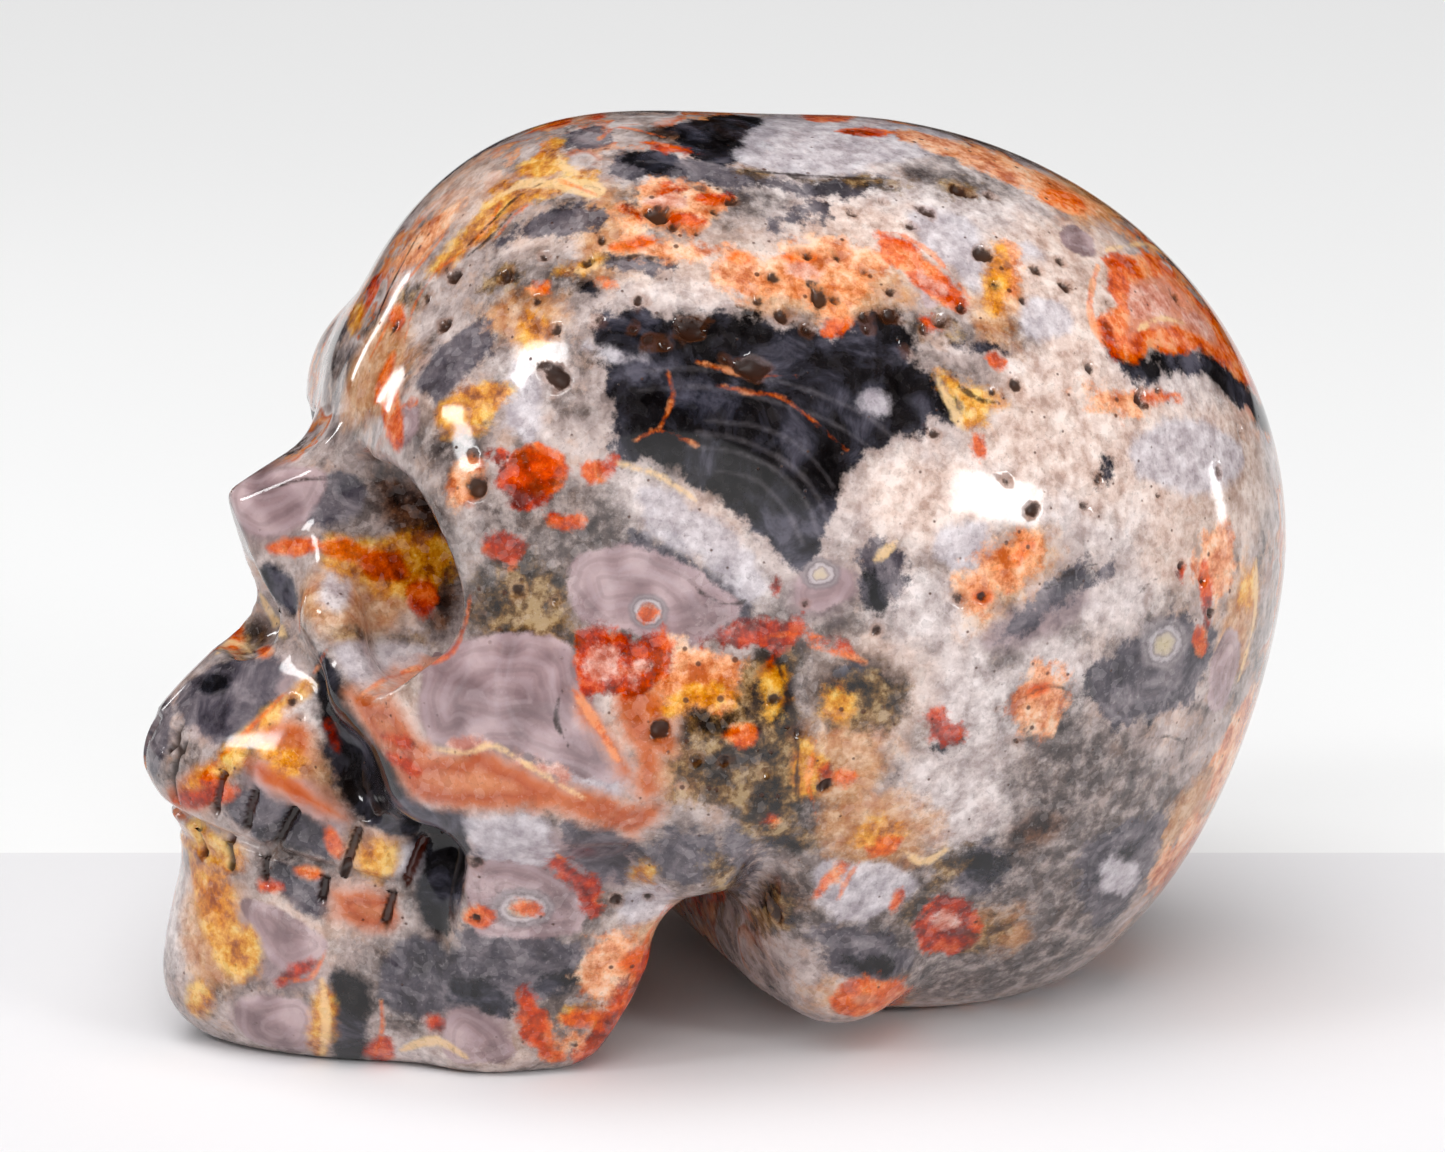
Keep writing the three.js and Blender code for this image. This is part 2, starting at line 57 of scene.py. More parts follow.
# The photograph's camera and its frame. Lengths here are in millimetres, as in the CAD model.
PHOTO_WIDTH = 1445
PHOTO_HEIGHT = 1152
CAMERA_AZIMUTH = 72
CAMERA_ELEVATION = 12
CAMERA_DISTANCE = 334
CAMERA_AIM = (0.0, 0.0, 35.5)
LENS = 100
SENSOR = 36
PIXELS_PER_MM = 12.0

# The form
# Each stroke is a signed distance in millimetres, negative inside, that is added to the stone
# or cut from it with a soft edge. They are the strokes of the CAD solid.
CRANIUM_CENTRE = (0, 8, 37.5)
CRANIUM_RADII = (33.5, 40.5, 36)
# The jaws, as stations: height, front, half width, centre and power of the plan oval.
JAWS = (
    (-2.0, -42.0, 15.5, -12, 1.6),
    (1.0, -45.2, 17.3, -12, 1.65),
    (3.3, -46.8, 18.2, -13, 1.7),
    (5.7, -47.3, 18.3, -14, 1.75),
    (8.4, -47.0, 18.0, -16, 1.8),
    (11.7, -46.2, 17.4, -18, 1.9),
    (14.2, -45.5, 17.3, -20, 2.0),
    (17.0, -45.6, 17.6, -21, 2.0),
    (20.0, -47.2, 18.0, -21, 1.9),
    (23.5, -48.7, 17.8, -21, 1.8),
    (26.1, -48.1, 17.0, -21, 1.7),
    (29.2, -45.6, 15.5, -20, 1.7),
    (32.2, -42.3, 13.5, -20, 1.8),
    (36.0, -38.5, 12.0, -20, 2.0),
)
JAWS_TOP = 35
JAWS_TOP_BLEND = 3
MIDLINE_SOFTNESS = 0.6
FOOT_DIP = 0.3
FOOT_BLEND = 2.5
TINY = 1e-9


def smooth(t):
    """From 0 to 1 as t goes, level at both ends."""
    t = np.clip(t, 0, 1)
    return t * t * (3 - 2 * t)


def soft_min(a, b, blend):
    """The smaller of two distances, rounded where they differ by less than the blend."""
    near = np.maximum(blend - np.abs(a - b), 0) / blend
    return np.minimum(a, b) - near * near * blend / 4


def soft_max(a, b, blend):
    return -soft_min(-a, -b, blend)


def egg(at, radii, turn=0.0):
    """An ellipsoid, turned about the upright by some degrees."""
    cos, sin = math.cos(math.radians(turn)), math.sin(math.radians(turn))
    rx, ry, rz = radii

    def distance(x, y, z):
        dx, dy, qz = x - at[0], y - at[1], z - at[2]
        qx = cos * dx + sin * dy
        qy = cos * dy - sin * dx
        scaled = np.sqrt((qx / rx) ** 2 + (qy / ry) ** 2 + (qz / rz) ** 2) + TINY
        steepness = np.sqrt((qx / rx**2) ** 2 + (qy / ry**2) ** 2 + (qz / rz**2) ** 2) + TINY
        return scaled * (scaled - 1) / steepness

    return distance


def limb(start, end, radius, end_radius=None):
    """A rod with round ends, whose radius may change along it."""
    end_radius = radius if end_radius is None else end_radius
    along = [b - a for a, b in zip(start, end)]
    length_squared = sum(part * part for part in along)

    def distance(x, y, z):
        px, py, pz = x - start[0], y - start[1], z - start[2]
        t = np.clip((px * along[0] + py * along[1] + pz * along[2]) / length_squared, 0, 1)
        gap = (px - t * along[0]) ** 2 + (py - t * along[1]) ** 2 + (pz - t * along[2]) ** 2
        return np.sqrt(gap) - radius - smooth(t) * (end_radius - radius)

    return distance


def rounded_block(at, half, corner):
    """A box about a point, given its half sizes and the radius of its edges."""

    def distance(x, y, z):
        qx = np.abs(x - at[0]) - half[0] + corner
        qy = np.abs(y - at[1]) - half[1] + corner
        qz = np.abs(z - at[2]) - half[2] + corner
        outside = np.maximum(qx, 0) ** 2 + np.maximum(qy, 0) ** 2 + np.maximum(qz, 0) ** 2
        inside = np.minimum(np.maximum(np.maximum(qx, qy), qz), 0)
        return np.sqrt(outside) + inside - corner

    return distance


def plate(start, end, half, end_half, thick, corner):
    """An upright plate between two points in plan, with its own half height at each end."""
    ax, ay = end[0] - start[0], end[1] - start[1]

    def distance(x, y, z):
        px, py = x - start[0], y - start[1]
        t = np.clip((px * ax + py * ay) / (ax * ax + ay * ay), 0, 1)
        flat = np.sqrt((px - t * ax) ** 2 + (py - t * ay) ** 2) - thick + corner
        middle = start[2] + t * (end[2] - start[2])
        tall = np.abs(z - middle) - half - t * (end_half - half) + corner
        outside = np.sqrt(np.maximum(flat, 0) ** 2 + np.maximum(tall, 0) ** 2)
        return outside + np.minimum(np.maximum(flat, tall), 0) - corner

    return distance


def facets(faces, blend):
    """The space behind flat faces, each a point on it and its outward direction."""
    planes = []
    for at, out in faces:
        normal = Vector(out).normalized()
        planes.append((normal, normal.dot(Vector(at))))

    def distance(x, y, z):
        deepest = None
        for normal, offset in planes:
            gap = normal.x * x + normal.y * y + normal.z * z - offset
            deepest = gap if deepest is None else soft_max(deepest, gap, blend)
        return deepest

    return distance


def station_curve(measure):
    """A smooth curve through one measure of the jaw stations, by height."""
    heights = np.array([station[0] for station in JAWS], np.float32)
    values = np.array([station[measure] for station in JAWS], np.float32)
    slopes = np.gradient(values, heights)

    def curve(z):
        z = np.clip(z, heights[0], heights[-1])
        i = np.clip(np.searchsorted(heights, z, side="right") - 1, 0, len(heights) - 2)
        span = heights[i + 1] - heights[i]
        t = (z - heights[i]) / span
        leave = t * (1 - t) ** 2 * span * slopes[i]
        arrive = t * t * (t - 1) * span * slopes[i + 1]
        return values[i] + smooth(t) * (values[i + 1] - values[i]) + leave + arrive

    return curve


def jaw_column():
    front, half, centre, power = (station_curve(measure) for measure in (1, 2, 3, 4))

    def distance(x, y, z):
        middle = centre(z)
        p = power(z)
        across = (np.abs(x) / half(z)) ** p
        along = (np.abs(y - middle) / (middle - front(z))) ** p
        scaled = (across + along + TINY) ** (1 / p)
        side = np.sqrt(x * x + (y - middle) ** 2) * (1 - 1 / scaled)
        return soft_max(side + tooth_relief(y, z), z - JAWS_TOP, JAWS_TOP_BLEND)

    return distance


# The line of the bite falls towards the back. Heights on the teeth are measured from it.
BITE_SLOPE = 0.25
BITE_FRONT = -45.6
BITE_HEIGHT = 19.5
BITE_WIDTH = 0.45
BITE_DEPTH = 0.9
UPPER_GUM = (4.4, 0.018, -34)
LOWER_GUM = (-2.5, -0.02, -46)
GUM_STEP = 0.8
TEETH_SET_BACK = 0.35
TEETH_END = -28
TEETH_FADE = 3


def over_bite(y, z):
    return z + BITE_SLOPE * (y - BITE_FRONT) - BITE_HEIGHT


def gum_line(gum, y):
    height, bend, middle = gum
    return height + bend * (y - middle) ** 2


def tooth_relief(y, z):
    """How far the row of teeth lies behind the gums, with the line of the bite cut deeper."""
    rise = over_bite(y, z)
    reach = smooth((TEETH_END - y) / TEETH_FADE)
    below_gum = smooth(0.5 - (rise - gum_line(UPPER_GUM, y)) / GUM_STEP)
    above_gum = smooth(0.5 + (rise - gum_line(LOWER_GUM, y)) / GUM_STEP)
    line = BITE_DEPTH * np.exp(-((rise / BITE_WIDTH) ** 2))
    return reach * (TEETH_SET_BACK * below_gum * above_gum + line)


def both(shape):
    """A shape on both sides of the face, with no crease where they meet in the middle."""
    return lambda x, y, z: shape(np.sqrt(x * x + MIDLINE_SOFTNESS), y, z)


def through(shape):
    """A shape drawn in the side view, and run right through from side to side."""
    return lambda x, y, z: shape(x * 0, y, z)


def add(shape, blend):
    return lambda d, x, y, z: soft_min(d, shape(x, y, z), blend)


def cut(shape, blend):
    return lambda d, x, y, z: soft_max(d, -shape(x, y, z), blend)


NOSE_BONE = both(facets((
    ((1.6, -41, 45), (0.9, -0.42, 0.16)),
    ((0, -31.8, 49.6), (0, -0.41, 0.91)),
    ((0, -22, 0), (0, 1, 0)),
    ((0, 0, 31), (0, 0, -1)),
), 2))
NOSE_FRONT = facets((((0, -41.2, 45), (0, -0.95, -0.31)),), 1)
NOSE_EDGE_BLEND = 0.8
RAMUS_FACES = (
    ((21.8, -22, 15), (0.96, -0.08, -0.27)),
    ((20.5, -28.2, 15), (0.4, -0.9, -0.16)),
    ((20, -8, 15), (0.1, 0.99, 0)),
    ((18, -20, 27), (0, 0, 1)),
    ((11, -20, 15), (-1, 0, 0)),
)


def nose_shape(x, y, z):
    return soft_max(NOSE_BONE(x, y, z), NOSE_FRONT(x, y, z), NOSE_EDGE_BLEND)


STROKES = (
    # forehead, lower back of the head, and the hollows at the temples
    add(egg((0, -11.5, 49), (26.5, 17.5, 23)), 12),
    add(egg((0, 18, 22), (24, 24, 25.5)), 8),
    cut(both(egg((44, -19, 43), (14.5, 18, 16))), 9),
    # face and jaws
    add(rounded_block((0, -19, 36), (17, 12, 14), 6), 5),
    add(jaw_column(), 3),
    # the deep hollow under the cheekbone
    cut(both(limb((12.2, -38.4, 32.5), (15.5, -33.5, 25.5), 2.2, 3.8)), 1.5),
    cut(both(limb((15.5, -33.5, 25.5), (21.5, -26, 23), 3.8, 4.4)), 1.5),
    # the upright part of the lower jaw, and the hollow between it and the back teeth
    add(both(facets(RAMUS_FACES, 3.5)), 3),
    cut(both(limb((19, -29.2, 22), (18.6, -30.6, 13.5), 3.3, 2.4)), 1.5),
    # cheekbone
    add(both(plate((13.2, -33.4, 31.8), (18.6, -28.8, 29.3), 2.5, 6, 2.4, 1.8)), 2),
    add(both(plate((18.6, -28.8, 29.3), (23.2, -21, 28.8), 6, 5.4, 3, 1.8)), 5),
    add(both(plate((23.2, -21, 28.8), (26, -8, 26.5), 5.4, 3.6, 3, 2)), 8),
    # brow, and the post down the outer side of the eye
    add(both(limb((4, -26.2, 52.5), (15, -25.3, 51.5), 3, 3.2)), 6),
    add(both(limb((15, -24.6, 51), (18.8, -22.8, 45), 4, 5.2)), 6),
    add(both(limb((18.8, -22.8, 45), (18.8, -23, 34), 5.2)), 6),
    # eye sockets
    cut(both(egg((14.2, -31.5, 40.3), (9.4, 12.5, 8.8), 22)), 1.2),
    cut(both(egg((8.2, -31, 44.6), (5.2, 8, 4.6))), 1.5),
    # nose, and the sill between it and the cheek
    add(nose_shape, 2.5),
    add(both(limb((5, -34.6, 40.5), (9, -34.9, 36.2), 0.8, 1.5)), 4),
    add(both(limb((9, -34.9, 36.2), (13.8, -33, 29.8), 1.5, 1.6)), 2.5),
    cut(limb((0, -43, 40.5), (0, -40, 35.5), 1.6, 3.6), 1),
    cut(both(limb((0, -40, 35.5), (2.2, -40, 34.5), 3.2, 2.8)), 1),
    # hinge of the jaw, rounded skull base, bump behind the hinge, way through, and groove
    add(both(egg((23.2, -9.6, 19.8), (4.6, 5, 4.4))), 2),
    cut(through(limb((0, 0.5, -8), (0, 0.5, -7), 9.5)), 4),
    add(both(limb((20, 0.5, 18), (18.6, 4, 7.6), 6.5, 5.2)), 5),
    cut(through(limb((0, -7.8, -4), (0, -7.5, 10.3), 9.2, 4.3)), 3),
    cut(both(limb((31, -5.2, 20), (21, -5.2, 13), 1.4)), 1.5),
)
FIRST_STROKE = egg(CRANIUM_CENTRE, CRANIUM_RADII)


def form(x, y, z):
    d = FIRST_STROKE(x, y, z)
    for stroke in STROKES:
        d = stroke(d, x, y, z)
    return soft_max(d, -z - FOOT_DIP, FOOT_BLEND)


def form_at(points):
    return form(points[:, 0], points[:, 1], points[:, 2])


SLOPE_STEP = 0.05
LEAST_STEEPNESS = 0.05
MOST_MOVE = 0.5


def slope_at(points):
    """How fast the form's distance grows along each axis, at each point."""
    slopes = np.empty_like(points)
    for axis in range(3):
        step = np.zeros(3, np.float32)
        step[axis] = SLOPE_STEP
        slopes[:, axis] = (form_at(points + step) - form_at(points - step)) / (2 * SLOPE_STEP)
    return slopes


def settle(points, passes=3):
    """Moves points along the slope of the form until they lie on its surface."""
    for _ in range(passes):
        slopes = slope_at(points)
        steepness = np.maximum((slopes**2).sum(1), LEAST_STEEPNESS)
        move = np.clip(form_at(points) / steepness, -MOST_MOVE, MOST_MOVE)
        points = points - slopes * move[:, None]
    return points


# Meshing
MESH_STEP = 1.1
GRID_LOW = (-36, -51, -3)
GRID_HIGH = (36, 51, 77)


def mesh_form():
    """One corner in each grid cell that the surface crosses, and a face round each crossed edge."""
    lines = [np.arange(low, high, MESH_STEP, dtype=np.float32) for low, high in zip(GRID_LOW, GRID_HIGH)]
    values = form(*np.meshgrid(*lines, indexing="ij"))
    cells = tuple(length - 1 for length in values.shape)
    total = np.zeros(cells + (3,), np.float32)
    count = np.zeros(cells, np.float32)
    crossed_edges = []
    for axis in range(3):
        near = np.take(values, range(cells[axis]), axis)
        far = np.take(values, range(1, cells[axis] + 1), axis)
        crossed = (near < 0) != (far < 0)
        crossed_edges.append((crossed, near < 0))
        share = np.where(crossed, near / np.where(crossed, near - far, 1), 0)
        first, second = [other for other in range(3) if other != axis]
        for first_step in (0, 1):
            for second_step in (0, 1):
                part = [slice(None)] * 3
                part[first] = slice(first_step, first_step + cells[first])
                part[second] = slice(second_step, second_step + cells[second])
                hit = crossed[tuple(part)]
                for other in range(3):
                    shape = [1, 1, 1]
                    shape[other] = -1
                    if other == axis:
                        place = lines[other][:-1].reshape(shape) + share[tuple(part)] * MESH_STEP
                    else:
                        step = first_step if other == first else second_step
                        place = lines[other][step:step + cells[other]].reshape(shape)
                    total[..., other] += hit * place
                count += hit
    used = count > 0
    index = np.full(cells, -1, np.int64)
    index[used] = np.arange(used.sum())
    points = settle(total[used] / count[used][:, None])
    quads = []
    for axis, (crossed, near_inside) in enumerate(crossed_edges):
        side, other = (axis + 1) % 3, (axis + 2) % 3
        found = np.argwhere(crossed)
        inner = (found[:, side] > 0) & (found[:, other] > 0)
        inner &= (found[:, side] < cells[side]) & (found[:, other] < cells[other])
        found = found[inner]
        corners = []
        for side_step, other_step in ((-1, -1), (0, -1), (0, 0), (-1, 0)):
            cell = found.copy()
            cell[:, side] += side_step
            cell[:, other] += other_step
            corners.append(index[tuple(cell.T)])
        quad = np.stack(corners, 1)
        flip = ~near_inside[tuple(found.T)]
        quad[flip] = quad[flip][:, ::-1]
        quads.append(quad)
    quads = np.concatenate(quads)
    a, b, c, d = (points[quads[:, corner]] for corner in range(4))
    cross_first = np.abs(form_at((a + c) / 2)) < np.abs(form_at((b + d) / 2))
    by_first = quads[cross_first][:, (0, 1, 2, 0, 2, 3)].reshape(-1, 3)
    by_second = quads[~cross_first][:, (0, 1, 3, 1, 2, 3)].reshape(-1, 3)
    return points, np.concatenate([by_first, by_second])


REFINE_PASSES = 5
LONG_EDGE = 1.4


def refine(points, triangles, target):
    """Splits every edge that is much longer than target says it should be there."""
    for _ in range(REFINE_PASSES):
        pairs = np.sort(triangles[:, ((0, 1), (1, 2), (2, 0))].reshape(-1, 2), 1)
        edges, edge_of = np.unique(pairs, axis=0, return_inverse=True)
        edge_of = edge_of.reshape(-1, 3)
        middle = (points[edges[:, 0]] + points[edges[:, 1]]) / 2
        length = np.linalg.norm(points[edges[:, 0]] - points[edges[:, 1]], axis=1)
        split = length > LONG_EDGE * target(middle)
        if not split.any():
            break
        new_index = np.full(len(edges), -1, np.int64)
        new_index[split] = len(points) + np.arange(split.sum())
        points = np.concatenate([points, settle(middle[split], 2)])
        cuts = new_index[edge_of]
        number = (cuts >= 0).sum(1)
        kept = [triangles[number == 0]]
        for wanted, lead in ((1, (1, 0, 0)), (2, (1, 1, 0))):
            for turn in range(3):
                order = [(turn + step) % 3 for step in range(3)]
                found = number == wanted
                for step, is_cut in enumerate(lead):
                    found &= (cuts[:, order[step]] >= 0) == bool(is_cut)
                a, b, c = (triangles[found][:, order[step]] for step in range(3))
                m, n = cuts[found][:, order[0]], cuts[found][:, order[1]]
                if wanted == 1:
                    kept += [np.stack([a, m, c], 1), np.stack([m, b, c], 1)]
                else:
                    kept += [np.stack([m, b, n], 1), np.stack([a, m, n], 1), np.stack([a, n, c], 1)]
        whole = number == 3
        (a, b, c), (m, n, o) = triangles[whole].T, cuts[whole].T
        kept += [np.stack(three, 1) for three in ((a, m, o), (m, b, n), (o, n, c), (m, n, o))]
        triangles = np.concatenate(kept)
    return points, triangles


def photo_frame(azimuth):
    """The camera's place, its right, up and backward directions, and its length in pixels."""
    azimuth, elevation = math.radians(azimuth), math.radians(CAMERA_ELEVATION)
    level = math.cos(elevation)
    back = np.array([math.sin(azimuth) * level, -math.cos(azimuth) * level, math.sin(elevation)])
    right = np.array([math.cos(azimuth), math.sin(azimuth), 0])
    place = np.array(CAMERA_AIM) + back * CAMERA_DISTANCE
    return place, right, np.cross(back, right), back, LENS / SENSOR * PHOTO_WIDTH


# Shapes of markings, in the photograph's pixels: whether closed, half width, and path
SPOT_CORNERS = 16
CURVE_STEPS = (0, 0.25, 0.5, 0.75)


def curve(before, start, end, beyond):
    """Points on the smooth curve from each start to its end, in order."""
    rows = []
    for t in CURVE_STEPS:
        bend = 2 * before - 5 * start + 4 * end - beyond
        twist = 3 * start - before - 3 * end + beyond
        rows.append((2 * start + (end - before) * t + bend * t * t + twist * t**3) / 2)
    return np.stack(rows, 1).reshape(-1, 2)


def area(*corners):
    p = np.array(corners, float)
    return (True, 0, curve(np.roll(p, 1, 0), p, np.roll(p, -1, 0), np.roll(p, -2, 0)))


def spot(x, y, wide, high, turn=0):
    angle = np.arange(SPOT_CORNERS) * 2 * math.pi / SPOT_CORNERS
    cos, sin = math.cos(math.radians(turn)), math.sin(math.radians(turn))
    across, down = wide * np.cos(angle), high * np.sin(angle)
    return (True, 0, np.stack([x + across * cos - down * sin, y + across * sin + down * cos], 1))


def vein(half_width, *corners):
    p = np.array(corners, float)
    start, end = p[:-1], p[1:]
    before = np.concatenate([p[:1], p[:-2]])
    beyond = np.concatenate([p[2:], p[-1:]])
    return (False, half_width, np.concatenate([curve(before, start, end, beyond), p[-1:]]))


# Markings
# The near side is marked as the photographed stone is. Every outline, spot and vein is given in the
# photograph's pixels, and laid on the surface that is seen there. A spot is its centre, its half width, half
# height and turn in degrees. A vein is its half width and its path.
# Pale stone, and painted light: the spots across the crown and on the upper right make the top of the head
# paler where the light falls on it.
FAIR_AND_TOP_LIGHT = (
    area((622, 462), (660, 470), (700, 500), (745, 540), (790, 590), (770, 612), (730, 590),
         (690, 560), (655, 545), (628, 520), (612, 488)),
    area((880, 455), (930, 430), (990, 440), (1060, 400), (1120, 420), (1180, 520), (1120, 560),
         (1030, 520), (980, 540), (930, 560), (880, 540), (840, 540), (850, 490)),
    spot(1060, 350, 70, 60, 20),
    spot(940, 610, 70, 40, 20),
    spot(1010, 690, 90, 60, -20),
    spot(960, 800, 60, 60, 0),
    spot(1120, 600, 50, 26, -20),
    spot(850, 150, 90, 24, 4),
    spot(900, 212, 150, 36, 8),
    spot(664, 172, 60, 16, -6),
    spot(1150, 420, 80, 60, 0),
    spot(1030, 300, 60, 60, 0),
    spot(1000, 190, 60, 26, 25),
    spot(720, 290, 110, 16, 0),
    spot(535, 360, 34, 46, 0),
    spot(445, 620, 24, 30, 0),
    spot(640, 912, 40, 22, -20),
    spot(940, 960, 34, 16, 0),
    spot(430, 1050, 36, 12, 0),
    spot(308, 706, 20, 40, -10),
    spot(350, 610, 30, 34, 0),
    spot(398, 660, 40, 18, -15),
    spot(182, 920, 14, 60, 0),
)
# Dark grey stone, and painted shade: the outlines and spots low on the jaw and on the lower right of the
# head darken the underside for its shade, and a spot behind the eye darkens the temple hollow.
DIM_AND_SHADE = (
    area((482, 540), (500, 500), (545, 478), (600, 480), (640, 520), (690, 560), (700, 590), (640, 570),
         (596, 560), (574, 600), (566, 650), (500, 645), (478, 600)),
    area((470, 960), (560, 968), (640, 960), (630, 1010), (590, 1050), (500, 1056), (440, 1040)),
    area((860, 820), (940, 850), (1010, 830), (1080, 800), (1180, 800), (1150, 880),
         (1080, 960), (1000, 995), (900, 990), (830, 960), (830, 900)),
    area((1010, 700), (1070, 690), (1100, 720), (1150, 760), (1190, 790), (1160, 860),
         (1110, 900), (1060, 950), (1000, 990), (930, 990), (960, 930), (1000, 880), (1030, 800)),
    spot(1080, 780, 70, 50, 0),
    spot(730, 580, 40, 20, 40),
    spot(700, 720, 60, 50, 0),
    spot(800, 680, 50, 90, 0),
    spot(790, 800, 60, 60, 0),
    spot(820, 900, 50, 40, 0),
    spot(500, 600, 46, 50, 0),
    spot(880, 880, 60, 30, 20),
    spot(690, 855, 44, 36, 0),
    spot(560, 900, 60, 60, 0),
    spot(420, 980, 50, 50, 0),
    spot(640, 255, 60, 14, 0),
    spot(960, 180, 60, 12, 12),
    spot(700, 200, 90, 20, 0),
    spot(300, 870, 40, 30, 20),
    spot(430, 870, 40, 50, 0),
    spot(560, 280, 60, 20, -20),
    spot(1240, 480, 26, 50, 0),
    spot(1010, 330, 40, 20, 0),
    spot(440, 440, 40, 26, 30),
    spot(395, 510, 60, 26, 0),
    spot(440, 560, 30, 60, 0),
)
ROSY = (
    area((1000, 230), (1060, 220), (1100, 250), (1096, 330), (1130, 380), (1180, 400),
         (1250, 420), (1270, 500), (1230, 560), (1160, 520), (1080, 500), (1010, 440), (1000, 380),
         (1040, 330), (1000, 290)),
    spot(1060, 440, 90, 60, 0),
    spot(1090, 300, 40, 80, 10),
    spot(930, 500, 70, 50, 0),
    spot(880, 240, 90, 40, 10),
    spot(720, 260, 100, 30, 0),
    spot(870, 700, 60, 60, 0),
    spot(640, 720, 40, 50, 0),
    spot(545, 760, 80, 40, 20),
    spot(415, 720, 46, 50, 0),
    spot(630, 980, 40, 60, 0),
    spot(490, 1040, 50, 26, 0),
    spot(290, 930, 50, 30, 30),
    spot(260, 500, 50, 30, -10),
    spot(700, 520, 50, 30, 30),
    spot(1180, 540, 40, 60, 0),
    spot(470, 190, 50, 40, -40),
    spot(550, 230, 40, 16, -20),
    spot(445, 395, 24, 26, 0),
)
WARM = (
    area((960, 590), (985, 560), (1030, 530), (1060, 540), (1050, 570), (1010, 610), (975, 625)),
    spot(880, 830, 60, 40, 0),
    spot(850, 760, 40, 60, 0),
    spot(700, 690, 60, 30, 0),
    spot(1180, 250, 30, 50, -40),
    spot(1080, 200, 50, 16, 25),
    spot(1240, 620, 18, 60, 10),
    spot(1200, 800, 16, 70, 38),
    spot(530, 320, 40, 26, 0),
    spot(380, 370, 26, 60, 25),
    spot(360, 600, 60, 40, 0),
    spot(300, 760, 60, 30, 40),
    spot(220, 930, 34, 60, 0),
    spot(380, 850, 30, 20, 0),
    spot(650, 960, 30, 60, 20),
    spot(860, 1000, 50, 16, 0),
    spot(1000, 930, 30, 20, 0),
    spot(700, 770, 50, 26, -10),
    spot(830, 290, 80, 30, 0),
    spot(1000, 300, 26, 50, 0),
    spot(610, 230, 30, 50, 0),
)
MAUVE = (
    area((478, 640), (560, 630), (590, 660), (600, 720), (640, 780), (600, 796), (540, 790),
         (480, 760), (430, 740), (424, 690), (440, 660)),
    spot(270, 500, 50, 44, -10),
    spot(250, 700, 60, 30, -30),
    spot(300, 800, 60, 24, 28),
    spot(270, 950, 60, 30, 30),
    spot(280, 1020, 46, 24, 10),
    spot(530, 850, 60, 30, 10),
    spot(600, 860, 40, 30, 0),
    spot(480, 1020, 40, 20, 0),
    spot(640, 590, 60, 36, 20),
    spot(825, 590, 36, 26, -20),
    spot(1040, 620, 60, 20, -25),
)
SLATE = (
    area((640, 536), (690, 552), (738, 586), (748, 612), (700, 602), (650, 566)),
    area((467, 330), (498, 322), (498, 348), (483, 363), (467, 371), (457, 394), (439, 406),
         (421, 386), (429, 366), (444, 348)),
    area((622, 150), (650, 158), (700, 154), (745, 169), (800, 180), (878, 176), (884, 190),
         (830, 196), (780, 190), (720, 186), (680, 172), (640, 180), (618, 170)),
    area((500, 243), (526, 223), (564, 205), (589, 202), (612, 213), (607, 223), (577, 233),
         (538, 238)),
    spot(588, 138, 26, 13, -10),
    spot(804, 213, 35, 10, -20),
    spot(643, 262, 40, 8, 0),
    spot(883, 575, 20, 38, -4),
    area((1000, 640), (1030, 600), (1060, 578), (1100, 562), (1112, 572), (1080, 590),
         (1050, 612), (1020, 636)),
    area((1085, 690), (1110, 655), (1140, 640), (1180, 620), (1210, 632), (1214, 660),
         (1190, 700), (1150, 722), (1110, 720)),
    area((1080, 880), (1092, 845), (1130, 822), (1168, 818), (1160, 850), (1140, 890),
         (1110, 925), (1085, 915)),
    area((953, 860), (975, 842), (1005, 850), (1010, 880), (985, 895), (955, 890)),
    area((824, 930), (860, 926), (905, 940), (912, 965), (880, 982), (835, 972)),
    spot(688, 856, 38, 30, -10),
    area((564, 822), (600, 826), (636, 838), (630, 870), (600, 884), (575, 862)),
    area((472, 930), (520, 928), (580, 945), (600, 975), (560, 990), (510, 1012), (470, 1000),
         (452, 965)),
    area((180, 700), (210, 668), (250, 658), (284, 662), (286, 690), (262, 716), (232, 742),
         (205, 736)),
    area((232, 792), (262, 790), (330, 826), (340, 858), (310, 852), (260, 838), (236, 818)),
    area((276, 868), (300, 864), (330, 884), (332, 918), (300, 905), (280, 888)),
    area((150, 730), (165, 700), (180, 705), (172, 740), (160, 775), (148, 760)),
    spot(336, 498, 34, 28, -20),
    spot(760, 745, 30, 50, 10),
    spot(742, 862, 20, 40, 10),
    area((390, 950), (420, 935), (450, 950), (470, 985), (440, 1015), (400, 1010), (380, 985)),
    spot(700, 590, 22, 16, 30),
)
